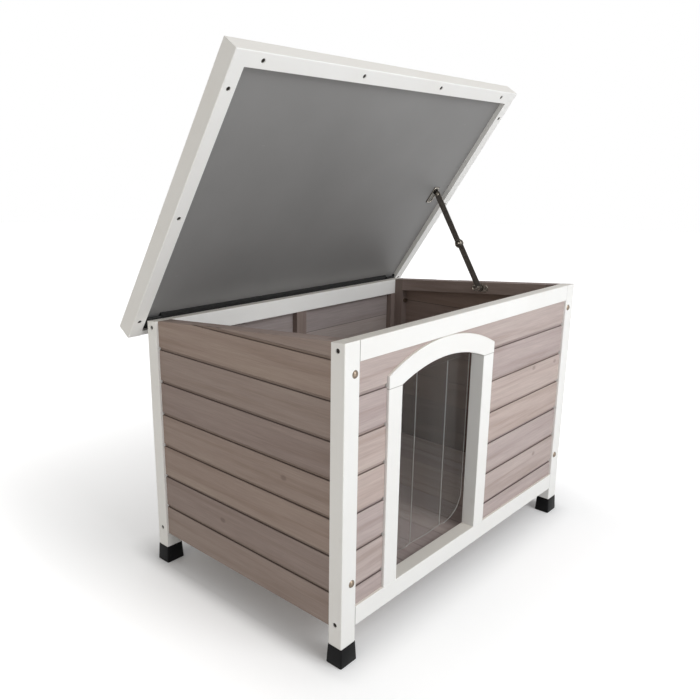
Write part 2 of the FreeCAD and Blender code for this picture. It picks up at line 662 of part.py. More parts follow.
def make_floor():
    """Boards from front to rear on three bearers."""
    body = new_body("floor_boards")
    steps = f"ceil(({POST_SIDE} + floor_joint) / plank_pitch)"
    first = f"(floor_joint - plank_pitch * {steps})"
    corners = [(up, across) for across, up in plank_corners(FLOOR_UNDERSIDE, 1, first)]
    lay_planks(body, "XZ", FRAME_FRONT, "body_depth - 2 * post_depth", corners[::-1],
               "X_Axis", f"ceil(({POST_SIDE} - {first}) / plank_pitch)")
    for name, left, right in (
            ("left", f"{first} - plank_pitch", f"-{POST_SIDE}"),
            ("right", POST_SIDE, f"{POST_SIDE} + 2 * plank_pitch")):
        cut_prism(body, "trim_" + name, "XZ", FRONT, "body_depth",
                  rectangle(left, right, "0", "2 * floor_top"))
    fix_to_house(body)
    bearers = new_body("floor_bearers")
    for name, start in (("front", FRAME_FRONT), ("middle", "-bearer_width / 2"),
                        ("rear", f"{FRAME_REAR} - bearer_width")):
        add_prism(bearers, name, "YZ", f"-{POST_SIDE}", f"2 * {POST_SIDE}", rectangle(
            start, f"{start} + bearer_width", f"{FLOOR_UNDERSIDE} - bearer_height", FLOOR_UNDERSIDE))
    fix_to_house(bearers)


def side_battens(word, side):
    """Battens that the side planks are nailed to: two stiles, a top and a bottom one."""
    start = f"-{SIDE_BACKING}" if side < 0 else POST_SIDE
    thick = f"({SIDE_BACKING} - {POST_SIDE})"
    hole_x = f"-{BOLT_X}" if side < 0 else BOLT_X
    inner_front = f"({FRAME_FRONT} + stile_width)"
    inner_rear = f"({FRAME_REAR} - stile_width)"
    for name, near, far, top in (("front", FRAME_FRONT, inner_front, FRONT),
                                 ("rear", inner_rear, FRAME_REAR, REAR)):
        stile = new_body(f"{word}_{name}_stile")
        corners = [(near, "side_plank_start"), (far, "side_plank_start"),
                   (far, wall_top(far)), (near, wall_top(near))]
        add_prism(stile, "batten", "YZ", start, thick, corners)
        cut_holes(stile, "bolt_holes", "XZ", near, "stile_width",
                  [(hole_x, "bolt_low"), (hole_x, f"{wall_top(top)} - bolt_drop")],
                  "bolt_radius + bolt_play")
        fix_to_house(stile)
    top_batten = new_body(f"{word}_top_batten")
    corners = [(inner_front, f"{wall_top(inner_front)} - top_batten_height"),
               (inner_rear, f"{wall_top(inner_rear)} - top_batten_height"),
               (inner_rear, wall_top(inner_rear)), (inner_front, wall_top(inner_front))]
    add_prism(top_batten, "batten", "YZ", start, thick, corners)
    fix_to_house(top_batten)
    bottom_batten = new_body(f"{word}_bottom_batten")
    add_prism(bottom_batten, "batten", "YZ", start, thick,
              rectangle(inner_front, inner_rear, "side_plank_start", FLOOR_UNDERSIDE))
    fix_to_house(bottom_batten)


def make_cleats():
    """Upright cleats behind the planks of the front and rear walls."""
    front = new_body("front_cleats")
    depth = f"({FRAME_FRONT} - {FRONT_BACKING})"
    outer = f"({POST_SIDE} - cleat_width)"
    left_jamb = f"({DOOR_LEFT} - jamb_width)"
    right_jamb = f"({DOOR_RIGHT} + jamb_width)"
    for name, left, right, top in (
            ("left_end", f"-{POST_SIDE}", f"-{outer}", FRONT_RAIL_UNDERSIDE),
            ("left_door", f"{left_jamb} - cleat_width", left_jamb, JAMB_TOP),
            ("right_door", right_jamb, f"{right_jamb} + cleat_width", JAMB_TOP),
            ("right_end", outer, POST_SIDE, FRONT_RAIL_UNDERSIDE)):
        add_prism(front, name, "XZ", FRONT_BACKING, depth, rectangle(left, right, SILL, top))
    fix_to_house(front)
    ends = new_body("rear_end_cleats")
    for name, left, right in (("left", f"-{POST_SIDE}", f"-{outer}"), ("right", outer, POST_SIDE)):
        add_prism(ends, name, "XZ", FRAME_REAR, depth, rectangle(left, right, SILL, REAR_RAIL_UNDERSIDE))
    fix_to_house(ends)
    middle = new_body("rear_middle_cleat")
    add_prism(middle, "batten", "XZ", FRAME_REAR, depth, rectangle(
        "middle_cleat_place - middle_cleat_width / 2", "middle_cleat_place + middle_cleat_width / 2",
        SILL, REAR_RAIL_UNDERSIDE))
    fix_to_house(middle)


def make_door_surround():
    """Two jambs on the sill carry an arch cut from one board."""
    for label, left in (("door_jamb_left", f"({DOOR_LEFT} - jamb_width)"), ("door_jamb_right", DOOR_RIGHT)):
        jamb = new_body(label)
        add_prism(jamb, "timber", "XZ", FRONT, "post_depth",
                  rectangle(left, f"{left} + jamb_width", SILL, JAMB_TOP))
        round_edges(jamb, "edges", "timber_round", along("z"))
        fix_to_house(jamb)
    arch = new_body("door_arch")
    outer_left = f"({DOOR_LEFT} - jamb_width)"
    outer_right = f"({DOOR_RIGHT} + jamb_width)"
    shoulder = f"({JAMB_TOP} + arch_shoulder)"
    corners = [(outer_left, JAMB_TOP), (DOOR_LEFT, JAMB_TOP), (DOOR_RIGHT, JAMB_TOP),
               (outer_right, JAMB_TOP), (outer_right, shoulder), (outer_left, shoulder)]
    inner_radius = arc_radius("(door_width / 2)", "arch_rise")
    outer_radius = arc_radius("(door_width / 2 + jamb_width)", ARCH_RISE_OUTSIDE)
    add_prism(arch, "board", "XZ", FRONT, "post_depth", corners,
              {1: (inner_radius, -1), 4: (outer_radius, 1)})
    round_curves(arch, "edges", "timber_round")
    fix_to_house(arch)


def make_flap():
    """A clear header sheet clamped behind the arch, and three strips below its edge."""
    left = f"({DOOR_MIDDLE} - flap_width / 2)"
    right = f"({DOOR_MIDDLE} + flap_width / 2)"
    low = f"({BEND_LINE} + flap_thick / 2 + flap_gap)"
    slit_top = f"({JAMB_TOP} + arch_rise + clamp_lift)"
    header = new_body("flap_header")
    add_prism(header, "sheet", "XZ", FRAME_FRONT, "flap_thick",
              rectangle(left, right, low, f"{BEND_LINE} + header_height"))
    for name, place in (("left", f"({DOOR_MIDDLE} - flap_middle / 2 - flap_slit)"),
                        ("right", f"({DOOR_MIDDLE} + flap_middle / 2)")):
        cut_prism(header, "slit_" + name, "XZ", FRAME_FRONT, "flap_thick", rectangle(
            place, f"{place} + flap_slit", f"{low} - flap_slit", slit_top))
    fix_to_house(header)
    clamp = new_body("flap_clamp")
    add_prism(clamp, "batten", "XZ", f"{FRAME_FRONT} + flap_thick", "clamp_thick", rectangle(
        f"{DOOR_MIDDLE} - clamp_width / 2", f"{DOOR_MIDDLE} + clamp_width / 2",
        slit_top, f"{slit_top} + clamp_height"))
    fix_to_house(clamp)
    outer = "(flap_width / 2 - flap_middle / 2 - flap_slit)"
    inner = "(flap_middle / 2)"
    near = FRAME_FRONT
    far = f"({FRAME_FRONT} + flap_thick)"
    foot = f"({SILL} + flap_lift)"
    for label, start, length, corner in (
            ("flap_strip_left", left, outer, -1),
            ("flap_strip_middle", f"({DOOR_MIDDLE} - {inner})", "flap_middle", 0),
            ("flap_strip_right", f"({right} - {outer})", outer, 1)):
        strip = new_body(label)
        add_prism(strip, "sheet", "YZ", start, length, rectangle(near, far, foot, BEND_LINE))
        axis_y = f"({FRAME_FRONT} + flap_thick / 2)"
        add_discs(strip, "turning_edge", "YZ", start, length, [(axis_y, BEND_LINE)], "flap_thick / 2")
        if corner:
            edge_x = measure(left if corner < 0 else right)
            foot_z = measure(foot)
            round_edges(strip, "corner", "flap_corner", lambda middle, direction: (
                abs(direction.y) > 0.999 and abs(middle.x - edge_x) < 0.01
                and abs(middle.z - foot_z) < 0.01))
        fix_to_house(strip)


def domed_pin(label, head_radius, head_rise, radius, length):
    """A revolved fastener along +Y with a domed head before its shank."""
    body = new_body(label)
    sketch = flat_sketch(body, "section", "YZ", "0")
    outline(sketch, [(f"-{head_rise}", "0"), (length, "0"), (length, radius), ("0", radius),
                     ("0", head_radius)],
            {4: (arc_radius(head_radius, head_rise), 1)})
    spin = body.newObject("PartDesign::Revolution", label + "_spin")
    spin.Profile = sketch
    spin.ReferenceAxis = (sketch, ["H_Axis"])
    spin.Angle = 360
    return body


def screw(label, length):
    """A revolved countersunk screw along +Y, with a cross recess in its head."""
    body = new_body(label)
    sketch = flat_sketch(body, "section", "YZ", "0")
    tip = "(2 * screw_radius)"
    outline(sketch, [("0", "0"), (length, "0"), (f"{length} - {tip}", "screw_radius"),
                     ("screw_head_depth", "screw_radius"), ("0", "screw_head_radius")])
    spin = body.newObject("PartDesign::Revolution", label + "_spin")
    spin.Profile = sketch
    spin.ReferenceAxis = (sketch, ["H_Axis"])
    spin.Angle = 360
    cross_recess(body, "XZ")
    return body


def cross_recess(body, plane):
    """The cross in a screw head that lies in this plane."""
    arm = "recess_reach"
    half = "recess_width / 2"
    cut_prism(body, "recess_level", plane, "0", "recess_depth",
              rectangle("-" + arm, arm, "-" + half, half))
    cut_prism(body, "recess_upright", plane, "0", "recess_depth",
              rectangle("-" + half, half, "-" + arm, arm))


def make_fasteners():
    """Bolts and nuts through posts and stiles, screws through posts into rail ends."""
    reach = "(post_depth + stile_width + nut_thick + bolt_end)"
    bolt = domed_pin("bolt_pattern", "bolt_head_radius", "bolt_head_rise", "bolt_radius", reach)
    nut = new_body("nut_pattern")
    corner = "(nut_flats / 2 / cos(30))"
    hexagon = [(f"{corner} * cos({60 * step})", f"{corner} * sin({60 * step})") for step in range(6)]
    add_prism(nut, "hexagon", "XZ", "0", "nut_thick", hexagon)
    cut_holes(nut, "bore", "XZ", "0", "nut_thick", [("0", "0")], "bolt_radius + bolt_play")
    bolts = []
    nuts = []
    for sx in ("-", ""):
        for z in ("bolt_low", "front_height - bolt_drop"):
            bolts.append((sx + BOLT_X, FRONT, z, 0))
            nuts.append((sx + BOLT_X, f"{FRAME_FRONT} + stile_width", z, 0))
        for z in ("bolt_low", "rear_height - bolt_drop"):
            bolts.append((sx + BOLT_X, REAR, z, 180))
            nuts.append((sx + BOLT_X, f"{FRAME_REAR} - stile_width", z, 180))
    fix_to_house(group("frame_bolts", bolt, bolts))
    fix_to_house(group("frame_nuts", nut, nuts))
    rail_screw = screw("rail_screw_pattern", "screw_length")
    low = "bottom_rail_lift + screw_rise"
    screws = []
    for side, turn in (("-", -90), ("", 90)):
        for middle in ("-" + POST_MIDDLE, POST_MIDDLE):
            head = f"{side}({SIDE} - screw_sink)"
            screws.append((head, middle, low, turn))
            screws.append((head, middle, f"{wall_top(middle)} - screw_drop", turn))
    fix_to_house(group("rail_screws", rail_screw, screws))


def lid_places():
    """Places of the lid screws, seen from below: (x, y) about the hinge axis."""
    x = f"({LID_SIDE} - lid_rail_width / 2)"
    y = f"({LID_FRONT} + lid_front_width / 2)"
    places = [(side + x, f"{LID_REAR} - lid_screw_rear - {step} * lid_screw_pitch")
              for side in ("-", "") for step in range(3)]
    places += [(f"{step} * front_screw_pitch", y) for step in (-1.5, -0.5, 0.5, 1.5)]
    return places


def deck_outline():
    """The deck and the felt fill the frame inside its lips."""
    half = f"({LID_SIDE} - lip_width)"
    return rectangle("-" + half, half, f"{LID_FRONT} + lip_width", f"{LID_REAR} - rear_lip")


def lining_outline():
    """The lining sits in a groove all round."""
    half = f"({LID_INSIDE} + groove_depth)"
    return rectangle("-" + half, half, f"{LID_FRONT} + lid_front_width - groove_depth",
                     f"{LID_REAR} - lid_rear_width + groove_depth")


def lid_rail(label, corners, outer):
    """One rail of the lid frame, grooved for the lining and rebated for the deck."""
    body = new_body(label)
    add_prism(body, "timber", "XY", LID_UNDERSIDE, "lid_thick", corners)
    round_edges(body, "edges", "lid_round", outer)
    cut_prism(body, "groove", "XY", LINING, "lining_thick", lining_outline())
    cut_prism(body, "rebate", "XY", DECK, "deck_thick + felt_thick", deck_outline())
    return body


def make_lid_frame():
    """Side rails over the full length, a mitred front rail, a rear rail between them."""
    inner_front = f"({LID_FRONT} + lid_front_width)"
    side_at = measure(LID_SIDE)
    front_at = measure(LID_FRONT)
    rear_at = measure(LID_REAR)
    seats = lid_places()
    for label, side in (("lid_left_rail", -1), ("lid_right_rail", 1)):
        sign = "-" if side < 0 else ""
        corners = [(sign + LID_INSIDE, inner_front), (sign + LID_SIDE, LID_FRONT),
                   (sign + LID_SIDE, LID_REAR), (sign + LID_INSIDE, LID_REAR)]
        body = lid_rail(label, corners if side > 0 else corners[::-1], lambda middle, direction: (
            abs(direction.y) > 0.999 and abs(abs(middle.x) - side_at) < 0.01))
        mine = seats[:3] if side < 0 else seats[3:6]
        bore_lid_rail(body, mine)
        fix_to_lid(body)
    front = lid_rail("lid_front_rail", [
        ("-" + LID_SIDE, LID_FRONT), (LID_SIDE, LID_FRONT), (LID_INSIDE, inner_front),
        ("-" + LID_INSIDE, inner_front)], lambda middle, direction: (
            abs(direction.x) > 0.999 and abs(middle.y - front_at) < 0.01))
    bore_lid_rail(front, seats[6:])
    fix_to_lid(front)
    rear = lid_rail("lid_rear_rail", rectangle(
        "-" + LID_INSIDE, LID_INSIDE, f"{LID_REAR} - lid_rear_width", LID_REAR),
        lambda middle, direction: abs(direction.x) > 0.999 and abs(middle.y - rear_at) < 0.01)
    fix_to_lid(rear)


def bore_lid_rail(body, places):
    """Holes and seats for screws that go up through the rail into the deck."""
    cut_holes(body, "screw_holes", "XY", LID_UNDERSIDE, "lid_thick", places,
              "screw_radius + screw_play")
    cut_holes(body, "screw_seats", "XY", LID_UNDERSIDE, "screw_sink + screw_head_depth", places,
              "screw_head_radius + screw_play")


def make_lid_filling():
    """Lining, battens, deck and felt, from below upwards."""
    lining = new_body("lid_lining")
    add_prism(lining, "panel", "XY", LINING, "lining_thick", lining_outline())
    fix_to_lid(lining)
    battens = new_body("lid_battens")
    middle = f"(({LID_REAR} - lid_rear_width + {LID_FRONT} + lid_front_width) / 2)"
    for name, step in (("front", -1), ("middle", 0), ("rear", 1)):
        place = f"({middle} + {step} * lid_batten_pitch)"
        add_prism(battens, name, "XY", f"{LINING} + lining_thick", f"{DECK} - {LINING} - lining_thick",
                  rectangle("-" + LID_INSIDE, LID_INSIDE, f"{place} - lid_batten_width / 2",
                            f"{place} + lid_batten_width / 2"))
    fix_to_lid(battens)
    deck = new_body("lid_deck")
    add_prism(deck, "panel", "XY", DECK, "deck_thick", deck_outline())
    tip = f"({LID_UNDERSIDE} + screw_sink + lid_screw_length + screw_play)"
    cut_holes(deck, "screw_holes", "XY", DECK, f"{tip} - {DECK}", lid_places(),
              "screw_radius + screw_play")
    fix_to_lid(deck)
    felt = new_body("roof_felt")
    add_prism(felt, "sheet", "XY", f"{DECK} + deck_thick", "felt_thick", deck_outline())
    fix_to_lid(felt)
    make_lid_screws()


def make_lid_screws():
    """Countersunk screws in the underside of the lid frame, pointing up."""
    pattern = new_body("lid_screw_pattern")
    sketch = flat_sketch(pattern, "section", "YZ", "0")
    tip = "(lid_screw_length - 2 * screw_radius)"
    outline(sketch, [("0", "0"), ("screw_head_radius", "0"), ("screw_radius", "screw_head_depth"),
                     ("screw_radius", tip), ("0", "lid_screw_length")])
    spin = pattern.newObject("PartDesign::Revolution", "lid_screw_spin")
    spin.Profile = sketch
    spin.ReferenceAxis = (sketch, ["V_Axis"])
    spin.Angle = 360
    cross_recess(pattern, "XY")
    head = f"{LID_UNDERSIDE} + screw_sink"
    fix_to_lid(group("lid_screws", pattern, [(x, y, head, 0) for x, y in lid_places()]))


def make_seal():
    """A rubber strip under the lining along the hinge side, notched at the barrels."""
    seal = new_body("lid_seal_strip")
    half = f"({LID_INSIDE} - seal_end_gap)"
    low = f"({LINING} - seal_thick)"
    add_prism(seal, "strip", "XY", low, "seal_thick", rectangle(
        "-" + half, half, f"{LID_REAR} - seal_front", f"{LID_REAR} - lid_rear_width"))
    reach = "(hinge_width / 2 + 2)"
    for name, sign in (("left", "-"), ("right", "")):
        cut_prism(seal, "notch_" + name, "XY", low, "seal_thick", rectangle(
            f"{sign}{HINGE_X} - {reach}", f"{sign}{HINGE_X} + {reach}", "-seal_front", "seal_notch"))
    fix_to_lid(seal)


def make_hinges():
    """Two butt hinges: a leaf on the post, a leaf under the seal strip, and a pin."""
    half = "(hinge_width / 2)"
    middle = "(middle_knuckle / 2)"
    fixed = new_body("box_leaf_pattern")
    back = "(-pin_stand_off)"
    add_prism(fixed, "leaf", "YZ", "-" + half, "hinge_width", rectangle(
        back, f"{back} + leaf_thick", "-leaf_drop", "-pin_rise"))
    for name, start in (("left", "-" + half), ("right", f"{middle} + knuckle_gap")):
        length = f"({half} - {middle} - knuckle_gap)"
        add_discs(fixed, "knuckle_" + name, "YZ", start, length, [("0", "0")], "barrel_radius")
        add_prism(fixed, "web_" + name, "YZ", start, length, rectangle(
            back, f"{back} + leaf_thick", "-pin_rise - leaf_thick", "0"))
    cut_holes(fixed, "bore", "YZ", "-" + half, "hinge_width", [("0", "0")], "pin_radius + pin_play")
    left = (f"-{HINGE_X}", HINGE_Y, HINGE_Z, 0)
    right = (HINGE_X, HINGE_Y, HINGE_Z, 0)
    fix_to_house(group("hinge_box_leaves", fixed, [left, right]))
    pin = new_body("hinge_pin_pattern")
    add_discs(pin, "shank", "YZ", "-" + half, "hinge_width", [("0", "0")], "pin_radius")
    for name, start in (("left", f"-{half} - pin_head_thick"), ("right", half)):
        add_discs(pin, "head_" + name, "YZ", start, "pin_head_thick", [("0", "0")], "pin_head_radius")
    fix_to_house(group("hinge_pins", pin, [left, right]))
    moving = new_body("lid_leaf_pattern")
    add_discs(moving, "knuckle", "YZ", "-" + middle, "middle_knuckle", [("0", "0")], "barrel_radius")
    add_prism(moving, "web", "YZ", "-" + middle, "middle_knuckle", rectangle(
        "0", "2 * barrel_radius", f"{LINING} - seal_thick - leaf_thick", f"{LINING} - seal_thick"))
    add_prism(moving, "leaf", "YZ", "-" + half, "hinge_width", rectangle(
        "barrel_radius + 1", "leaf_reach", f"{LINING} - seal_thick - leaf_thick",
        f"{LINING} - seal_thick"))
    cut_holes(moving, "bore", "YZ", "-" + middle, "middle_knuckle", [("0", "0")],
              "pin_radius + pin_play")
    places = [(f"-{HINGE_X}", "0", "0", 0), (HINGE_X, "0", "0", 0)]
    fix_to_lid(group("hinge_lid_leaves", moving, places))


def link(label, start, length, knuckle_radius):
    """A flat bar from its pivot to the knuckle, bored at both ends."""
    body = new_body(label)
    half = "(link_width / 2)"
    add_prism(body, "bar", "YZ", start, "link_thick", rectangle("0", length, "-" + half, half))
    add_discs(body, "pivot", "YZ", start, "link_thick", [("0", "0")], half)
    add_discs(body, "knuckle", "YZ", start, "link_thick", [(length, "0")], knuckle_radius)
    cut_holes(body, "bores", "YZ", start, "link_thick", [("0", "0"), (length, "0")],
              "rivet_radius + rivet_play")
    return body


def rivet(label, heads, shank_start, shank_end, centre):
    """A rivet along X: its shank and its heads, each (start, thickness, radius)."""
    body = new_body(label)
    add_discs(body, "shank", "YZ", shank_start, f"({shank_end}) - ({shank_start})", [centre],
              "rivet_radius")
    for number, (start, thick, radius) in enumerate(heads, start=1):
        add_discs(body, f"head_{number}", "YZ", start, thick, [centre], radius)
    return body


def make_stay():
    """The folding stay on the right: two brackets, two links and their rivets."""
    make_lid_bracket()
    make_box_bracket()
    lower = link("stay_lower_link", LOWER_LINK_IN, "lower_link_length", "lower_knuckle_radius")
    fix_to_pivot(lower, "stay_place", STAY_BOX_Z, STAY_ANGLE)
    upper = link("stay_upper_link", UPPER_LINK_IN, UPPER_LINK_LENGTH, "upper_knuckle_radius")
    fix_to_pivot(upper, STAY_OPEN_Y, STAY_OPEN_Z, f"{STAY_ANGLE} + 180 deg")
    far = rivet("stay_knuckle_cap", [(LOWER_LINK_OUT, "knuckle_head_thick", "knuckle_head_radius")],
                f"{LOWER_LINK_IN} + link_gap", f"{LOWER_LINK_OUT} + link_gap",
                ("lower_link_length", "0"))
    fix_to_pivot(far, "stay_place", STAY_BOX_Z, STAY_ANGLE)
    near = rivet("stay_knuckle_rivet", [
        (f"{UPPER_LINK_IN} - knuckle_head_thick", "knuckle_head_thick", "knuckle_head_radius"),
        (UPPER_LINK_OUT, f"{LOWER_LINK_IN} - link_gap - {UPPER_LINK_OUT}", "rivet_head_radius")],
        f"{UPPER_LINK_IN} - link_gap", UPPER_LINK_OUT, (UPPER_LINK_LENGTH, "0"))
    fix_to_pivot(near, STAY_OPEN_Y, STAY_OPEN_Z, f"{STAY_ANGLE} + 180 deg")


def make_lid_bracket():
    """A plate on the lining with a lug turned down near its outer edge, and its rivet."""
    bracket = new_body("stay_lid_bracket")
    front = f"({STAY_LID_Y} - (plate_length - plate_rear))"
    rear = f"({STAY_LID_Y} + plate_rear)"
    lug_out = f"({LUG_IN} + plate_thick)"
    plate_low = f"({LINING} - plate_thick)"
    edge = f"({lug_out} + plate_outside)"
    centre = (STAY_LID_Y, STAY_LID_Z)
    add_prism(bracket, "plate", "XY", plate_low, "plate_thick",
              rectangle(f"{edge} - plate_width", edge, front, rear))
    add_prism(bracket, "lug", "YZ", LUG_IN, "plate_thick", rectangle(
        f"{STAY_LID_Y} - lug_radius", f"{STAY_LID_Y} + lug_radius", STAY_LID_Z, LINING))
    add_discs(bracket, "eye", "YZ", LUG_IN, "plate_thick", [centre], "lug_radius")
    cut_holes(bracket, "bore", "YZ", LUG_IN, "plate_thick", [centre], "rivet_radius + rivet_play")
    fix_to_lid(bracket)
    near = f"({UPPER_LINK_IN} - link_gap)"
    pin = rivet("stay_lid_rivet", [
        (f"{near} - rivet_head_thick", "rivet_head_thick", "rivet_head_radius"),
        (lug_out, "rivet_head_thick", "rivet_head_radius")], near, lug_out, centre)
    fix_to_lid(pin)


def make_box_bracket():
    """A plate on the top batten with a boss that carries the lower link's rivet."""
    bracket = new_body("stay_box_bracket")
    centre = ("stay_place", STAY_BOX_Z)
    half = "(box_plate_length / 2)"
    rise = "(box_plate_height / 2)"
    back = f"({POST_SIDE} - plate_thick)"
    add_prism(bracket, "plate", "YZ", back, "plate_thick", rectangle(
        f"stay_place - {half} + {rise}", f"stay_place + {half} - {rise}",
        f"{STAY_BOX_Z} - {rise}", f"{STAY_BOX_Z} + {rise}"))
    ends = [(f"stay_place {sign} ({half} - {rise})", STAY_BOX_Z) for sign in "-+"]
    add_discs(bracket, "ends", "YZ", back, "plate_thick", ends, rise)
    add_discs(bracket, "boss", "YZ", f"{back} - boss_height", "boss_height", [centre], "boss_radius")
    cut_holes(bracket, "bore", "YZ", f"{back} - boss_height", "boss_height", [centre],
              "rivet_radius + rivet_play")
    fix_to_house(bracket)
    near = f"({LOWER_LINK_IN} - link_gap)"
    pin = rivet("stay_box_rivet", [
        (f"{near} - rivet_head_thick", "rivet_head_thick", "rivet_head_radius")], near, back, centre)
    fix_to_house(pin)


def make_posts():
    """Four posts, named left and right as seen by someone who looks at the doorway."""
    for end_word, end in (("front", -1), ("rear", 1)):
        for side_word, side in (("left", -1), ("right", 1)):
            post(f"post_{end_word}_{side_word}", side, end)


def check_document():
    """Stops on a failed feature, or on a piece whose shape is empty or not valid."""
    failed = [item.Label for item in doc.Objects if {"Invalid", "Error"} & set(item.State)]
    if failed:
        raise RuntimeError("failed: " + ", ".join(failed))
    for piece in nodes:
        if piece.Shape.isNull() or not piece.Shape.isValid() or not piece.Shape.Solids:
            raise RuntimeError("no valid solid: " + piece.Label)


def export_nodes():
    """One file for each piece."""
    os.makedirs("parts", exist_ok=True)
    for piece in nodes:
        piece.Shape.exportStep(f"parts/{piece.Label}.step")


make_posts()
make_rails()
make_foot_caps()
side_wall("left_wall_planks", -1)
side_wall("right_wall_planks", 1)
front_wall("front_planks_left", -1)
front_wall("front_planks_right", 1)
rear_wall()
make_floor()
side_battens("left", -1)
side_battens("right", 1)
make_cleats()
make_door_surround()
make_flap()
make_fasteners()
make_lid_frame()
make_lid_filling()
make_seal()
make_hinges()
make_stay()
doc.recompute()
check_document()
export_nodes()
print(len(nodes), "pieces,", sum(len(piece.Shape.Solids) for piece in nodes), "solids")
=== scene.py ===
"""Looks of a timber dog house with a sloping, framed lid.

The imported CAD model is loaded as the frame.  Its timbers, boards and fittings are kept
and finished; foot caps, flap strips, roofing felt and rivet heads get finer surfaces.
Everything is in metres, in the frame of the CAD.
"""

import json
import math

import bmesh
import bpy
import numpy as np
from bpy.props import FloatProperty, FloatVectorProperty, PointerProperty
from bpy.types import Operator, Panel, PropertyGroup
from mathutils import Euler, Matrix, Vector


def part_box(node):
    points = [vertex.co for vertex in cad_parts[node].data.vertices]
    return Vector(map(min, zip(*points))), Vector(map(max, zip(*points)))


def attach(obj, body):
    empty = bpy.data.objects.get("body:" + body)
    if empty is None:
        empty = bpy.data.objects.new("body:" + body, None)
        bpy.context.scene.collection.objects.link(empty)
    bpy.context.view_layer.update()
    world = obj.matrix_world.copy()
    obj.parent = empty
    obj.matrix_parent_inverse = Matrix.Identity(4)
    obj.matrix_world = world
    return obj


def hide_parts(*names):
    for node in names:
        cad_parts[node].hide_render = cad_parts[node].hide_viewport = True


bl_info = {
    "name": "Dog House Looks",
    "version": (1, 0, 0),
    "blender": (4, 5, 0),
    "location": "View3D > Sidebar > Dog House",
    "description": "Finishes a timber dog house: painted frame, stained boards, clear flap",
    "category": "Object",
}

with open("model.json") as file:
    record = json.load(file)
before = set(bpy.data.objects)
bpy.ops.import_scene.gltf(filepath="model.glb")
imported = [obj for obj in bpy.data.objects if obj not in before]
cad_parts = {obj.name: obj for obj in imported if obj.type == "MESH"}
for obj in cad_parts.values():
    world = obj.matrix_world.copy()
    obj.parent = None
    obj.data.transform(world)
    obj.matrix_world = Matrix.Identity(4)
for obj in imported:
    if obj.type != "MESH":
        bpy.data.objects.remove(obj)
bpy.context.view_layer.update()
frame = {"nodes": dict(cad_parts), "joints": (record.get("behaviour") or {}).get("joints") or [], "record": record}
JOINTS = {joint["name"]: Vector(joint["pos_m"]) for joint in frame["joints"]}
SLOTS = {part["node"]: part["material_slot"] for part in frame["record"]["subparts"]}
HINGE = JOINTS["lid_hinge"]
LID_ANGLE = math.radians(55.4)
LID_TURN = np.array(Matrix.Rotation(-LID_ANGLE, 3, "X"))
PITCH = 0.0666  # cover width of a board
CHANNEL = 0.006  # width of the channel at a board joint
BEHIND_CHANNEL = 0.007  # depth from the outer face past which a joint is a closed seam
# One board joint of each wall, by its height, and of the floor, by its place across.
FRONT_JOINT = 0.135
REAR_JOINT = 0.1546
SIDE_JOINT = 0.062
FLOOR_JOINT = -0.0396
SHEET_METAL = 0.0015  # thickness of hinge leaves and bracket plates
HINGE_HALF_WIDTH = 0.015  # from the outer edge of a hinge to its middle
STRIP_CORNER = 0.05  # radius at the foot of the outer flap strips
# Radius, rise and recess of screw heads.
HINGE_SCREW = (0.0026, 0.0005, 0.0007)
BRACKET_SCREW = (0.003, 0.0007, 0.0009)
# Lightness of the plate under the lid.  It stands for shade that the photograph shows.
SHADED_PLATE = 0.22

FLOOR_RADIUS = 9.0
FLOOR_DROP = 0.0005  # how far the floor lies under the feet
# The photograph's camera, solved from its straight edges.
CAMERA_TURN = (48.95, -14.45, 0.87)  # yaw, pitch and roll in degrees
CAMERA_PLACE = (-1.1568, -0.9541, 0.8146)
CAMERA_SHIFT = (0.0013, -0.0033)
FOCAL_PIXELS = 714.06
IMAGE_PIXELS = 700
SENSOR_WIDTH = 36.0

# What all colour properties share.
COLOUR = {"subtype": "COLOR", "size": 3, "min": 0, "max": 1}

# Turns of the pattern space, so that its X axis runs along the grain.
GRAIN_X = (0.0, 0.0, 0.0)
GRAIN_Y = (0.0, 0.0, -math.pi / 2)
GRAIN_Z = (0.0, math.pi / 2, 0.0)
GRAIN_LID_X = (LID_ANGLE, 0.0, 0.0)
GRAIN_LID_Y = (LID_ANGLE, 0.0, -math.pi / 2)


def linear(code):
    """Linear red, green, blue and alpha of an sRGB hex colour."""
    parts = [int(code[place:place + 2], 16) / 255 for place in (1, 3, 5)]
    curve = (c / 12.92 if c <= 0.04045 else ((c + 0.055) / 1.055) ** 2.4 for c in parts)
    return tuple(curve) + (1.0,)


def tone(colour):
    """A colour property as the four numbers that a socket takes."""
    return (colour[0], colour[1], colour[2], 1.0)


def feed(tree, socket, value):
    """Links a socket, or a node's first output, to the socket, or sets its value."""
    if isinstance(value, bpy.types.Node):
        value = value.outputs[0]
    if isinstance(value, bpy.types.NodeSocket):
        tree.links.new(value, socket)
    else:
        socket.default_value = value


def add(tree, kind, inputs=None, stops=None, **settings):
    """Adds one node with its settings; inputs maps sockets to what feed takes."""
    made = tree.nodes.new(kind)
    for name, value in settings.items():
        setattr(made, name, value)
    for key, value in (inputs or {}).items():
        feed(tree, made.inputs[key], value)
    for number, (place, colour) in enumerate(stops or ()):
        ramp = made.color_ramp.elements
        element = ramp[number] if number < 2 else ramp.new(place)
        element.position = place
        element.color = colour
    return made


def new_material(name):
    """An empty node material with its output and one shader."""
    material = bpy.data.materials.new(name)
    material.use_nodes = True
    tree = material.node_tree
    tree.nodes.clear()
    shader = add(tree, "ShaderNodeBsdfPrincipled")
    add(tree, "ShaderNodeOutputMaterial", {"Surface": shader})
    return material, tree, shader


def plug(tree, shader, **values):
    """Feeds sockets of the shader; an underscore stands for a space."""
    for name, value in values.items():
        feed(tree, shader.inputs[name.replace("_", " ")], value)


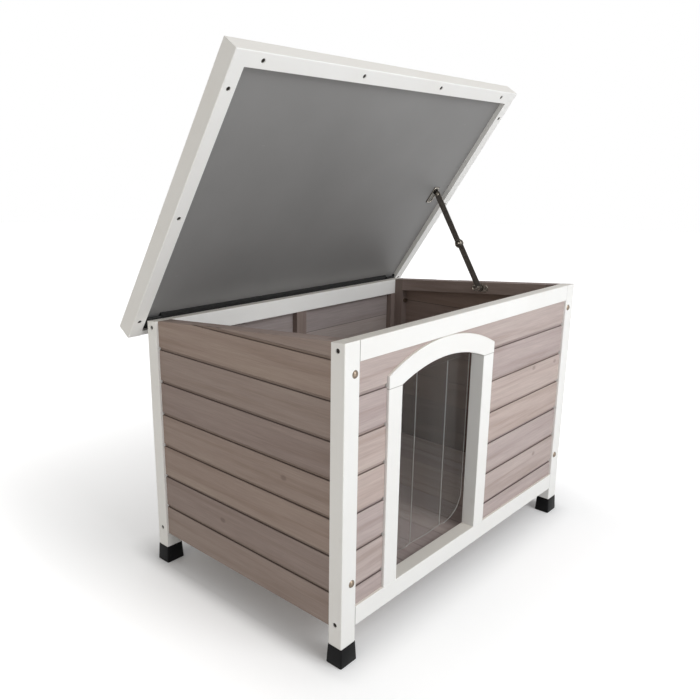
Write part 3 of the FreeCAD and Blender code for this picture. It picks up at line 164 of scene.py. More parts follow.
def pattern_space(tree, turn, pivot=(0, 0, 0)):
    """Object coordinates about a pivot, turned so that X runs along the grain."""
    place = -(Euler(turn).to_matrix() @ Vector(pivot))
    source = add(tree, "ShaderNodeTexCoord")
    return add(tree, "ShaderNodeMapping", {
        "Vector": source.outputs["Object"], "Location": place, "Rotation": turn})


def wood_pattern(tree, space):
    """Fibres, year rings and knots along X: (fibre, ring, knot), each from 0 to 1."""
    # Fibres are drawn 1.5 mm wide and 50 mm long; real ones are finer than a pixel here.
    fibre_space = add(tree, "ShaderNodeMapping", {
        "Vector": space, "Scale": (20.0, 650.0, 650.0)})
    fibre = add(tree, "ShaderNodeTexNoise", {
        "Vector": fibre_space, "Scale": 1.0, "Detail": 3.0, "Roughness": 0.6})
    # Year rings are noise in cells of 17 mm with finer ones of 8 and 4 mm, which
    # wander slowly along the board.
    ring_space = add(tree, "ShaderNodeMapping", {
        "Vector": space, "Scale": (3.0, 60.0, 60.0)})
    ring = add(tree, "ShaderNodeTexNoise", {
        "Vector": ring_space, "Scale": 1.0, "Detail": 2.0, "Roughness": 0.5,
        "Distortion": 0.6})
    # Knots: one at a chance place in each cell of 125 by 83 mm, faded out 10 mm along
    # the grain and 7 mm across it.
    knot_space = add(tree, "ShaderNodeMapping", {
        "Vector": space, "Scale": (8.0, 12.0, 12.0)})
    knot = add(tree, "ShaderNodeTexVoronoi", {
        "Vector": knot_space, "Scale": 1.0, "Randomness": 1.0})
    near = add(tree, "ShaderNodeMapRange", {
        "Value": knot.outputs["Distance"], "From Min": 0.03, "From Max": 0.08,
        "To Min": 1.0, "To Max": 0.0}, interpolation_type="SMOOTHSTEP")
    return fibre, ring, near


def drawn_line(tree, value, place, near, far, strength):
    """A line where value is place: the strength up to near from it, fading to 0 at far."""
    gap = add(tree, "ShaderNodeMath", {0: value, 1: place}, operation="SUBTRACT")
    gap = add(tree, "ShaderNodeMath", {0: gap}, operation="ABSOLUTE")
    return add(tree, "ShaderNodeMapRange", {
        "Value": gap, "From Min": near, "From Max": far, "To Min": strength, "To Max": 0.0})


def stained_board(name, turn, outer=None, joints=None, painted_shade="#bcbcbc"):
    """Spruce boards, planed, with a matt taupe stain: soft grain, knots, darker channels.

    joints is (axis, place) of one board joint and outer (axis, place, way) the outer
    face with the sign of the way into the board; they come together.  The last argument
    tints the whole material with painted shade, lighter or darker for how light falls on
    that wall, and was tuned to how light the photograph shows that wall; the real stain is one.
    """
    looks = bpy.context.scene.dog_house.timber
    material, tree, shader = new_material(name)
    space = pattern_space(tree, turn)
    fibre, ring, knot = wood_pattern(tree, space)
    colour = add(tree, "ShaderNodeValToRGB", {"Fac": ring}, [
        (0.3, tone(looks.stain_dark)), (0.5, tone(looks.stain)), (0.72, tone(looks.stain_light))])
    colour = add(tree, "ShaderNodeMixRGB", {
        "Fac": 0.3, "Color1": colour, "Color2": add(tree, "ShaderNodeValToRGB", {"Fac": fibre}, [
            (0.3, linear("#a09894")), (0.7, linear("#d6d0cd"))])},
        blend_type="OVERLAY")
    shade = add(tree, "ShaderNodeMath", {0: knot, 1: 0.35}, operation="MULTIPLY")
    colour = add(tree, "ShaderNodeMixRGB", {
        "Fac": shade, "Color1": colour, "Color2": tone(looks.knot)})
    height = add(tree, "ShaderNodeMath", {0: fibre, 1: ring}, operation="ADD")
    if joints:
        axis, start = joints
        split = add(tree, "ShaderNodeSeparateXYZ", {
            0: add(tree, "ShaderNodeTexCoord").outputs["Object"]})
        shifted = add(tree, "ShaderNodeMath", {
            0: split.outputs[axis], 1: start}, operation="SUBTRACT")
        count = add(tree, "ShaderNodeMath", {0: shifted, 1: PITCH}, operation="DIVIDE")
        number = add(tree, "ShaderNodeMath", {0: count}, operation="FLOOR")
        chance = add(tree, "ShaderNodeTexWhiteNoise", {"W": number}, noise_dimensions="1D")
        board = add(tree, "ShaderNodeValToRGB", {"Fac": chance}, [
            (0.0, linear("#b2b0b2")), (0.5, linear("#bcbcbc")), (1.0, linear("#c5c0ba"))])
        colour = add(tree, "ShaderNodeMixRGB", {
            "Fac": 0.6, "Color1": colour, "Color2": board}, blend_type="OVERLAY")
        away = add(tree, "ShaderNodeMath", {0: count, 1: 0.5}, operation="PINGPONG")
        half = CHANNEL / 2 / PITCH
        inside = add(tree, "ShaderNodeMapRange", {
            "Value": away, "From Min": half * 1.02, "From Max": half * 1.15,
            "To Min": 1.0, "To Max": 0.0})
        face_axis, face, way = outer
        depth = add(tree, "ShaderNodeMath", {
            0: split.outputs[face_axis], 1: face}, operation="SUBTRACT")
        depth = add(tree, "ShaderNodeMath", {
            0: depth, 1: float(way)}, operation="MULTIPLY")
        deep = add(tree, "ShaderNodeMapRange", {
            "Value": depth, "From Min": 0.0003, "From Max": 0.0012})
        shallow = add(tree, "ShaderNodeMath", {
            0: depth, 1: BEHIND_CHANNEL}, operation="LESS_THAN")
        sunk = add(tree, "ShaderNodeMath", {0: deep, 1: shallow}, operation="MULTIPLY")
        behind = add(tree, "ShaderNodeMath", {
            0: depth, 1: BEHIND_CHANNEL}, operation="GREATER_THAN")
        inside = add(tree, "ShaderNodeMath", {0: inside, 1: sunk}, operation="MULTIPLY")
        inside = add(tree, "ShaderNodeMath", {0: inside, 1: 0.2}, operation="MULTIPLY")
        colour = add(tree, "ShaderNodeMixRGB", {
            "Fac": inside, "Color1": colour, "Color2": tone(looks.channel)})
        # Dark lines in the two corners of a channel are painted shade, and a dark line is drawn along the seam
        # behind it.
        # Both lines are drawn 1 mm wide to each side, as real ones are thinner than a pixel.
        for place, share in ((half, sunk), (0.0, behind)):
            line = drawn_line(tree, away, place, 0.0003 / PITCH, 0.001 / PITCH, 0.6)
            line = add(tree, "ShaderNodeMath", {0: line, 1: share}, operation="MULTIPLY")
            colour = add(tree, "ShaderNodeMixRGB", {
                "Fac": line, "Color1": colour, "Color2": linear("#3a2f2a")})
    # Painted shade: the whole material is tinted for how light falls on this wall.
    colour = add(tree, "ShaderNodeMixRGB", {
        "Fac": 1.0, "Color1": colour, "Color2": linear(painted_shade)}, blend_type="MULTIPLY")
    bump = add(tree, "ShaderNodeBump", {"Height": height, "Strength": 0.2, "Distance": 0.0003})
    rough = add(tree, "ShaderNodeMapRange", {
        "Value": fibre, "To Min": 0.62, "To Max": 0.8})
    plug(tree, shader, Base_Color=colour, Roughness=rough, Normal=bump)
    plug(tree, shader, IOR=1.45, Specular_IOR_Level=0.35)
    return material


def painted_timber(name, turn, ends=()):
    """Planed fir under two coats of satin white paint: faint grain, slight smudges.

    ends are planes (axis, place) where the timber meets another: a thin grey line of painted shade in the joint.
    """
    looks = bpy.context.scene.dog_house.timber
    material, tree, shader = new_material(name)
    space = pattern_space(tree, turn)
    fibre, ring, knot = wood_pattern(tree, space)
    cloud = add(tree, "ShaderNodeTexNoise", {
        "Vector": space, "Scale": 9.0, "Detail": 3.0, "Roughness": 0.55})
    colour = add(tree, "ShaderNodeMixRGB", {
        "Fac": cloud, "Color1": tone(looks.paint), "Color2": tone(looks.paint_warm)})
    streak = add(tree, "ShaderNodeMapRange", {
        "Value": fibre, "From Min": 0.62, "From Max": 0.8, "To Min": 0.0, "To Max": 0.10})
    colour = add(tree, "ShaderNodeMixRGB", {
        "Fac": streak, "Color1": colour, "Color2": linear("#b9b2a6")})
    mark = add(tree, "ShaderNodeMath", {0: knot, 1: 0.05}, operation="MULTIPLY")
    colour = add(tree, "ShaderNodeMixRGB", {
        "Fac": mark, "Color1": colour, "Color2": linear("#a39a8c")})
    split = add(tree, "ShaderNodeSeparateXYZ", {
        0: add(tree, "ShaderNodeTexCoord").outputs["Object"]})
    # Painted shade: a thin grey line where the timber meets another.
    for axis, place in ends:
        line = drawn_line(tree, split.outputs[axis], place, 0.0002, 0.001, 0.65)
        colour = add(tree, "ShaderNodeMixRGB", {
            "Fac": line, "Color1": colour, "Color2": linear("#7d7770")})
    # Upper faces are tinted a little, as if the timber shone through thin paint there.
    facing = add(tree, "ShaderNodeSeparateXYZ", {
        0: add(tree, "ShaderNodeNewGeometry").outputs["Normal"]})
    thin = add(tree, "ShaderNodeMapRange", {
        "Value": facing.outputs[2], "From Min": 0.6, "From Max": 0.95, "To Max": 0.3})
    colour = add(tree, "ShaderNodeMixRGB", {
        "Fac": thin, "Color1": colour, "Color2": linear("#e6d6be")})
    height = add(tree, "ShaderNodeMath", {0: fibre, 1: ring}, operation="ADD")
    bump = add(tree, "ShaderNodeBump", {"Height": height, "Strength": 0.12, "Distance": 0.0003})
    rough = add(tree, "ShaderNodeMapRange", {
        "Value": cloud, "To Min": 0.38, "To Max": 0.5})
    plug(tree, shader, Base_Color=colour, Roughness=rough, Normal=bump)
    plug(tree, shader, IOR=1.47, Specular_IOR_Level=0.4)
    return material


def coated_board(name):
    """Thin fibreboard with a matt grey coat: rolled texture and a few light scuffs."""
    looks = bpy.context.scene.dog_house.timber
    material, tree, shader = new_material(name)
    space = pattern_space(tree, GRAIN_LID_X, HINGE)
    cloud = add(tree, "ShaderNodeTexNoise", {"Vector": space, "Scale": 3.5, "Detail": 4.0})
    colour = add(tree, "ShaderNodeValToRGB", {"Fac": cloud}, [
        (place, tone([c * share for c in looks.lining]))
        for place, share in ((0.3, 0.93), (0.7, 1.07))])
    # The roller's texture is drawn 1.4 mm wide, coarser than it is.
    roll = add(tree, "ShaderNodeTexNoise", {"Vector": space, "Scale": 700.0, "Detail": 2.0})
    scuff_space = add(tree, "ShaderNodeMapping", {
        "Vector": space, "Scale": (9.0, 60.0, 60.0), "Rotation": (0, 0, 0.5)})
    scuff = add(tree, "ShaderNodeTexVoronoi", {
        "Vector": scuff_space, "Scale": 1.0}).outputs["Distance"]
    light = add(tree, "ShaderNodeMapRange", {
        "Value": scuff, "From Min": 0.02, "From Max": 0.05, "To Min": 0.18, "To Max": 0.0})
    colour = add(tree, "ShaderNodeMixRGB", {
        "Fac": light, "Color1": colour, "Color2": linear("#b4b3b0")})
    bump = add(tree, "ShaderNodeBump", {"Height": roll, "Strength": 0.2, "Distance": 0.0002})
    plug(tree, shader, Base_Color=colour, Roughness=0.55, Normal=bump)
    return material


def moulded_plastic(name):
    """Black polypropylene, injection moulded: fine spark texture, soft gloss."""
    looks = bpy.context.scene.dog_house.caps
    material, tree, shader = new_material(name)
    space = pattern_space(tree, GRAIN_X)
    # The spark texture is drawn 1.1 mm wide; a real one is finer than a pixel here.
    spark = add(tree, "ShaderNodeTexNoise", {"Vector": space, "Scale": 900.0, "Detail": 2.0})
    dust = add(tree, "ShaderNodeTexNoise", {"Vector": space, "Scale": 60.0, "Detail": 3.0})
    colour = add(tree, "ShaderNodeValToRGB", {"Fac": dust}, [
        (0.35, tone(looks.colour)), (0.8, linear("#121212"))])
    bump = add(tree, "ShaderNodeBump", {"Height": spark, "Strength": 0.25, "Distance": 0.0002})
    rough = add(tree, "ShaderNodeMapRange", {"Value": dust, "To Min": 0.36, "To Max": 0.5})
    plug(tree, shader, Base_Color=colour, Roughness=rough, Normal=bump)
    plug(tree, shader, IOR=1.49, Specular_IOR_Level=0.13)
    return material


def clear_sheet(name):
    """Clear soft PVC sheet: see-through, shines at a slant, with a faint smoky tint.

    Alpha is the haze plus the fourth power of how slanting the sheet is seen.
    """
    looks = bpy.context.scene.dog_house.flap
    material, tree, shader = new_material(name)
    space = pattern_space(tree, GRAIN_Z)
    wave_space = add(tree, "ShaderNodeMapping", {
        "Vector": space, "Scale": (2.0, 9.0, 9.0)})
    wave = add(tree, "ShaderNodeTexNoise", {"Vector": wave_space, "Scale": 1.0, "Detail": 2.0})
    slant = add(tree, "ShaderNodeLayerWeight", {"Blend": 0.5}).outputs["Facing"]
    slant = add(tree, "ShaderNodeMath", {0: slant, 1: 4.0}, operation="POWER")
    film = add(tree, "ShaderNodeMath", {0: wave, 1: looks.haze}, operation="MULTIPLY")
    alpha = add(tree, "ShaderNodeMath", {0: film, 1: slant}, operation="ADD")
    plug(tree, shader, Base_Color=tone(looks.tint), Roughness=0.1, Alpha=alpha, Metallic=0.4)
    plug(tree, shader, IOR=1.53)
    return material


def polished_edge(name):
    """Cut edges of the clear sheet, which gather light and look milky."""
    material, tree, shader = new_material(name)
    space = pattern_space(tree, GRAIN_Z)
    cut = add(tree, "ShaderNodeTexNoise", {"Vector": space, "Scale": 120.0, "Detail": 2.0})
    alpha = add(tree, "ShaderNodeMapRange", {"Value": cut, "To Min": 0.7, "To Max": 1.0})
    plug(tree, shader, Base_Color=linear("#e4e4e0"), Roughness=0.25, Alpha=alpha)
    plug(tree, shader, IOR=1.53)
    return material


def plated_steel(name, colour, roughness, spots):
    """Plated steel: metal with slightly uneven gloss and fine pits."""
    material, tree, shader = new_material(name)
    space = pattern_space(tree, GRAIN_X)
    cloud = add(tree, "ShaderNodeTexNoise", {"Vector": space, "Scale": 350.0, "Detail": 3.0})
    shade = add(tree, "ShaderNodeValToRGB", {"Fac": cloud}, [
        (0.3, tone([c * (1 - spots) for c in colour])), (0.65, tone(colour))])
    rough = add(tree, "ShaderNodeMapRange", {
        "Value": cloud, "To Min": roughness * 0.8, "To Max": roughness * 1.25})
    bump = add(tree, "ShaderNodeBump", {"Height": cloud, "Strength": 0.1, "Distance": 0.0001})
    plug(tree, shader, Base_Color=shade, Metallic=1.0, Roughness=rough, Normal=bump)
    return material


def coated_steel(name, colour, roughness):
    """Steel under a thin dark coat, worn to a low sheen."""
    material, tree, shader = new_material(name)
    space = pattern_space(tree, GRAIN_X)
    cloud = add(tree, "ShaderNodeTexNoise", {"Vector": space, "Scale": 140.0, "Detail": 4.0})
    shade = add(tree, "ShaderNodeValToRGB", {"Fac": cloud}, [
        (0.35, tone(colour)), (0.8, tone([c * 1.7 for c in colour]))])
    rough = add(tree, "ShaderNodeMapRange", {
        "Value": cloud, "To Min": roughness, "To Max": roughness * 1.3})
    bump = add(tree, "ShaderNodeBump", {"Height": cloud, "Strength": 0.2, "Distance": 0.0001})
    plug(tree, shader, Base_Color=shade, Metallic=0.35, Roughness=rough, Normal=bump)
    return material


def foam_rubber(name):
    """Black foam rubber strip: open pores that catch a little light."""
    material, tree, shader = new_material(name)
    space = pattern_space(tree, GRAIN_X)
    pores = add(tree, "ShaderNodeTexVoronoi", {"Vector": space, "Scale": 450.0}).outputs["Distance"]
    colour = add(tree, "ShaderNodeValToRGB", {"Fac": pores}, [
        (0.1, linear("#070707")), (0.75, linear("#141414")), (0.9, linear("#2d2d2d"))])
    bump = add(tree, "ShaderNodeBump", {"Height": pores, "Strength": 0.6, "Distance": 0.0006})
    plug(tree, shader, Base_Color=colour, Roughness=0.85, Normal=bump)
    return material


def mineral_felt(name):
    """Bitumen felt faced with crushed slate: dark grit of 1 to 2 mm with light grains."""
    looks = bpy.context.scene.dog_house.roof
    material, tree, shader = new_material(name)
    space = pattern_space(tree, GRAIN_LID_X, HINGE)
    grit = add(tree, "ShaderNodeTexVoronoi", {"Vector": space, "Scale": 620.0})
    grain = add(tree, "ShaderNodeSeparateColor", {0: grit.outputs["Color"]})
    shade = add(tree, "ShaderNodeValToRGB", {"Fac": grain}, [
        (0.2, tone([c * 0.6 for c in looks.felt])), (0.6, tone(looks.felt)),
        (0.95, tone([min(1.0, c * 2.6) for c in looks.felt]))])
    cloud = add(tree, "ShaderNodeTexNoise", {"Vector": space, "Scale": 6.0, "Detail": 4.0})
    colour = add(tree, "ShaderNodeMixRGB", {
        "Fac": add(tree, "ShaderNodeMath", {0: cloud, 1: 0.35}, operation="MULTIPLY"),
        "Color1": shade, "Color2": linear("#2a2a2b")})
    bump = add(tree, "ShaderNodeBump", {
        "Height": grit.outputs["Distance"], "Strength": 0.8, "Distance": 0.0006})
    plug(tree, shader, Base_Color=colour, Roughness=0.9, Normal=bump)
    return material


def seen_directly(tree):
    """1 for camera, glossy and transmission rays, and 0 for the others."""
    path = add(tree, "ShaderNodeLightPath")
    seen = path.outputs["Is Camera Ray"]
    for name in ("Is Glossy Ray", "Is Transmission Ray"):
        seen = add(tree, "ShaderNodeMath", {
            0: seen, 1: path.outputs[name]}, operation="MAXIMUM")
    return seen


def dress(material, *names):
    """Gives a material to every slot of these nodes."""
    for name in names:
        mesh = frame["nodes"][name].data
        for place in range(max(1, len(mesh.materials))):
            if place < len(mesh.materials):
                mesh.materials[place] = material
            else:
                mesh.materials.append(material)


def grid_faces(rows, columns):
    """Quads between rows of points, each row closed on itself."""
    row, column = np.meshgrid(np.arange(rows - 1), np.arange(columns), indexing="ij")
    near = row * columns + column
    next_near = row * columns + (column + 1) % columns
    return np.stack([near, next_near, next_near + columns, near + columns], -1).reshape(-1, 4)


def skin(rings):
    """A closed shell over rings of points (ring, point, 3); fans close the first and last.

    A fan joins the middle of its ring to every pair of neighbours on it.
    """
    count, size, _ = rings.shape
    points = np.concatenate([rings.reshape(-1, 3), rings[:1].mean(1), rings[-1:].mean(1)])
    faces = grid_faces(count, size).tolist()
    for ring, pole in ((0, count * size), (count - 1, count * size + 1)):
        here = ring * size + np.arange(size)
        faces += np.stack([here, np.roll(here, -1), np.full(size, pole)], -1).tolist()
    return points, faces


def lathe(profile, centre, axis, segments=32):
    """Rings of a profile turned about an axis: centre + h * axis + r * (cos, sin) across."""
    axis = np.array(Vector(axis).normalized())
    across = np.array(Vector(axis).orthogonal().normalized())
    other = np.cross(axis, across)
    radius, height = np.array(profile, float).T
    angle = np.linspace(0, 2 * np.pi, segments, endpoint=False)
    spoke = np.cos(angle)[:, None] * across + np.sin(angle)[:, None] * other
    return np.array(centre) + height[:, None, None] * axis + radius[:, None, None] * spoke


def join(shells):
    """Several shells as one mesh."""
    points, faces, first = [], [], 0
    for some, more in shells:
        points.append(some)
        faces += [[number + first for number in face] for face in more]
        first += len(some)
    return np.concatenate(points), faces


def new_piece(name, shape, material, body, replaced=(), sharp=35.0):
    """Puts a computed shell into the scene, outward and smooth up to the sharp angle."""
    points, faces = shape
    mesh = bpy.data.meshes.new(name)
    mesh.from_pydata(points.tolist(), [], faces)
    work = bmesh.new()
    work.from_mesh(mesh)
    bmesh.ops.recalc_face_normals(work, faces=work.faces)
    work.to_mesh(mesh)
    work.free()
    mesh.polygons.foreach_set("use_smooth", np.ones(len(mesh.polygons), bool))
    mesh.set_sharp_from_angle(angle=math.radians(sharp))
    mesh.materials.append(material)
    made = bpy.data.objects.new(name, mesh)
    bpy.context.scene.collection.objects.link(made)
    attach(made, body)
    if replaced:
        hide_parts(*replaced)
    return made


def rounded_rectangle(half_x, half_y, corner, z, steps=6):
    """A ring: four quarter circles of the corner radius joined by straight sides."""
    turn = np.linspace(0, np.pi / 2, steps)
    angles = np.concatenate([turn + quarter * np.pi / 2 for quarter in range(4)])
    signs_x = np.repeat([1, -1, -1, 1], steps)
    signs_y = np.repeat([1, 1, -1, -1], steps)
    x = signs_x * (half_x - corner) + corner * np.cos(angles)
    y = signs_y * (half_y - corner) + corner * np.sin(angles)
    return np.stack([x, y, np.full_like(x, z)], -1)


def tube(path, normal, radius, segments=10):
    """A tube about a closed flat path: path + r * (cos t * outward + sin t * normal)."""
    along = np.roll(path, -1, 0) - np.roll(path, 1, 0)
    outward = np.cross(along / np.linalg.norm(along, axis=1)[:, None], normal)
    angle = np.linspace(0, 2 * np.pi, segments, endpoint=False)
    ring = np.cos(angle)[:, None] * outward[:, None] + np.sin(angle)[:, None] * np.array(normal)
    points = path[:, None] + radius * ring
    faces = grid_faces(len(path) + 1, segments) % (len(path) * segments)
    return points.reshape(-1, 3), faces.tolist()


def head(radius, rise, recess=0.0):
    """Profile of a fastener's head: a quarter wave from the rim to the middle, and a recess.

    Height at radius r is rise * cos(pi / 2 * r / radius), less the recess in the middle
    fifth.  The rim starts 0.4 mm under the face that the head sits on.
    """
    share = np.array([1.0, 1.0, 0.96, 0.85, 0.65, 0.4, 0.26, 0.2, 0.05])
    height = rise * np.cos(np.pi / 2 * share)
    height[0] = -0.0004
    height[share <= 0.2] -= recess
    return np.stack([radius * share, height], -1)


def lid_box(name):
    """Corners of a node in the lid's own axes: across, up the slope, out through the roof."""
    mesh = frame["nodes"][name].data
    points = np.empty(len(mesh.vertices) * 3)
    mesh.vertices.foreach_get("co", points)
    local = (points.reshape(-1, 3) - np.array(HINGE)) @ LID_TURN
    return local.min(0), local.max(0)


def on_lid(points):
    """Points in the lid's own axes, put where the lid stands."""
    return points @ LID_TURN.T + np.array(HINGE)


class TimberLooks(PropertyGroup):
    """Colours of paint, stain and coats."""
    paint: FloatVectorProperty(
        name="Paint", description="White paint",
        default=linear("#f0f0ee")[:3], **COLOUR)
    paint_warm: FloatVectorProperty(
        name="Paint, thin", description="Where the paint is thinner",
        default=linear("#ebe9e5")[:3], **COLOUR)
    stain: FloatVectorProperty(
        name="Stain", description="Taupe stain of the boards",
        default=linear("#b6a8a4")[:3], **COLOUR)
    stain_light: FloatVectorProperty(
        name="Stain, light", description="Early wood under the stain",
        default=linear("#bdb0ab")[:3], **COLOUR)
    stain_dark: FloatVectorProperty(
        name="Stain, dark", description="Late wood under the stain",
        default=linear("#ab9c96")[:3], **COLOUR)
    channel: FloatVectorProperty(
        name="Channel", description="Stain gathered in the channels",
        default=linear("#5e4a40")[:3], **COLOUR)
    knot: FloatVectorProperty(
        name="Knot", description="Knots under the stain",
        default=linear("#5b463d")[:3], **COLOUR)
    lining: FloatVectorProperty(
        name="Lining", description="Grey coat of the lid lining",
        default=linear("#807f7e")[:3], **COLOUR)


class FlapLooks(PropertyGroup):
    """The clear strips of the doorway."""
    tint: FloatVectorProperty(
        name="Tint", description="Tint of the clear sheet",
        default=linear("#6f6e6b")[:3], **COLOUR)
    haze: FloatProperty(
        name="Haze", description="Share of light that the sheet's haze stops", default=0.07,
        min=0, max=1, subtype="FACTOR")
    bow: FloatProperty(
        name="Bow", description="How far the free edges stand out of the flat", default=0.0012,
        min=0, max=0.01, unit="LENGTH")


class CapLooks(PropertyGroup):
    """The moulded foot caps."""
    colour: FloatVectorProperty(
        name="Colour", description="Black of the foot caps",
        default=linear("#08080a")[:3], **COLOUR)
    corner: FloatProperty(
        name="Corner", description="Radius of the upright corners", default=0.003,
        min=0.001, max=0.008, unit="LENGTH")
    lip: FloatProperty(
        name="Lip", description="Radius at the ground and at the rim", default=0.0008,
        min=0.0002, max=0.003, unit="LENGTH")


class RoofLooks(PropertyGroup):
    """The felt and its nails."""
    felt: FloatVectorProperty(
        name="Felt", description="Mineral facing of the felt",
        default=linear("#4b4c4e")[:3], **COLOUR)
    ripple: FloatProperty(
        name="Ripple", description="Depth of the ripples in the felt", default=0.0005,
        min=0, max=0.002, unit="LENGTH")
    nail_head: FloatProperty(
        name="Nail head", description="Diameter of the clout nail heads", default=0.009,
        min=0.004, max=0.015, unit="LENGTH")
    nail_pitch: FloatProperty(
        name="Nail pitch", description="Way from nail to nail", default=0.1,
        min=0.03, max=0.3, unit="LENGTH")


class FittingLooks(PropertyGroup):
    """Bolts, screws, hinges and stay."""
    zinc: FloatVectorProperty(
        name="Zinc", description="Zinc plated bolts",
        default=linear("#85786a")[:3], **COLOUR)
    nickel: FloatVectorProperty(
        name="Nickel", description="Nickel plated rivets and bracket",
        default=linear("#b5afa5")[:3], **COLOUR)
    dark: FloatVectorProperty(
        name="Dark steel", description="Coated stay links",
        default=linear("#544f4a")[:3], **COLOUR)
    dome: FloatProperty(
        name="Dome", description="Rise of the rivet heads", default=0.0011,
        min=0.0002, max=0.003, unit="LENGTH")


class StageLooks(PropertyGroup):
    """Floor, backdrop and lamps."""
    floor: FloatVectorProperty(
        name="Floor", description="Pale floor",
        default=linear("#f2f2f2")[:3], **COLOUR)
    ambient: FloatProperty(
        name="Ambient", description="Strength of the light from all round", default=0.38,
        min=0, max=3)
    front: FloatProperty(
        name="Front", description="Power of the large lamp in front", default=17.0,
        min=0, max=1000, unit="POWER")
    high: FloatProperty(
        name="High front", description="Power of the large lamp high in front", default=44.0,
        min=0, max=1000, unit="POWER")
    low: FloatProperty(
        name="Low front", description="Power of the narrow lamp that shines up under the lid",
        default=1.0, min=0, max=1000, unit="POWER")
    side: FloatProperty(
        name="Side", description="Power of the warm lamp on the left", default=13.0,
        min=0, max=1000, unit="POWER")


class DogHouseLooks(PropertyGroup):
    """All looks of the dog house."""
    timber: PointerProperty(type=TimberLooks)
    flap: PointerProperty(type=FlapLooks)
    caps: PointerProperty(type=CapLooks)
    roof: PointerProperty(type=RoofLooks)
    fittings: PointerProperty(type=FittingLooks)
    stage: PointerProperty(type=StageLooks)


class DOGHOUSE_OT_paint_frame(Operator):
    """Paint the white timbers"""
    bl_idname = "dog_house.paint_frame"
    bl_label = "Paint the Frame"

    def execute(self, context):
        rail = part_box("front_top_rail")
        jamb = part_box("door_jamb_left")
        upright = painted_timber("satin_paint_upright", GRAIN_Z)
        jambs = painted_timber("satin_paint_jambs", GRAIN_Z, [(2, jamb[1].z)])
        level = painted_timber("satin_paint_level", GRAIN_X, [
            (0, rail[0].x), (0, rail[1].x), (2, jamb[1].z)])
        dress(upright, "post_front_left", "post_front_right", "post_rear_left", "post_rear_right")
        dress(jambs, "door_jamb_left", "door_jamb_right")
        dress(level, "front_top_rail", "front_bottom_rail", "rear_top_rail", "rear_bottom_rail",
              "door_arch")
        dress(painted_timber("satin_paint_lid_level", GRAIN_LID_X),
              "lid_front_rail", "lid_rear_rail")
        dress(painted_timber("satin_paint_lid_slope", GRAIN_LID_Y),
              "lid_left_rail", "lid_right_rail")
        return {"FINISHED"}


class DOGHOUSE_OT_stain_boards(Operator):
    """Stain the boards and battens"""
    bl_idname = "dog_house.stain_boards"
    bl_label = "Stain the Boards"

    def execute(self, context):
        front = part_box("front_planks_left")[0].y
        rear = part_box("rear_wall_planks")[1].y
        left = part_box("left_wall_planks")[0].x
        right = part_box("right_wall_planks")[1].x
        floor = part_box("floor_boards")
        # The fifth column is painted shade: each wall's tint, lighter or darker for how light falls on it, over
        # one real stain.
        for word, turn, outer, joint, painted_shade, names in (
                ("front", GRAIN_X, (1, front, 1), (2, FRONT_JOINT), "#fcfeff",
                 ("front_planks_left", "front_planks_right")),
                ("rear", GRAIN_X, (1, rear, -1), (2, REAR_JOINT), "#d4dadc",
                 ("rear_wall_planks",)),
                ("left", GRAIN_Y, (0, left, 1), (2, SIDE_JOINT), "#d0cdc8",
                 ("left_wall_planks",)),
                ("right", GRAIN_Y, (0, right, -1), (2, SIDE_JOINT), "#bcb6b0",
                 ("right_wall_planks",)),
                ("floor", GRAIN_Y, (2, floor[0].z, 1), (0, FLOOR_JOINT), "#f6f8f8",
                 ("floor_boards",))):
            dress(stained_board(f"taupe_stain_{word}", turn, outer, joint, painted_shade), *names)
        upright = [name for name in SLOTS if "cleat" in name or "stile" in name]
        sloped = [name for name in SLOTS if name.endswith("batten") and not name.startswith("lid")]
        # The tints of the uprights, battens and level timbers are painted shade too.
        dress(stained_board("taupe_stain_upright", GRAIN_Z, painted_shade="#b4b0ac"), *upright)
        dress(stained_board("taupe_stain_battens", GRAIN_Y, painted_shade="#ccc8c4"), *sloped)
        dress(stained_board("taupe_stain_level", GRAIN_X, painted_shade="#ccc8c4"),
              "floor_bearers", "flap_clamp", "lid_battens")
        return {"FINISHED"}


class DOGHOUSE_OT_line_lid(Operator):
    """Coat the lining and the deck of the lid and fit its seal"""
    bl_idname = "dog_house.line_lid"
    bl_label = "Line the Lid"

    def execute(self, context):
        coat = coated_board("grey_coated_board")
        dress(coat, "lid_lining", "lid_deck")
        dress(foam_rubber("black_foam_rubber"), "lid_seal_strip")
        return {"FINISHED"}


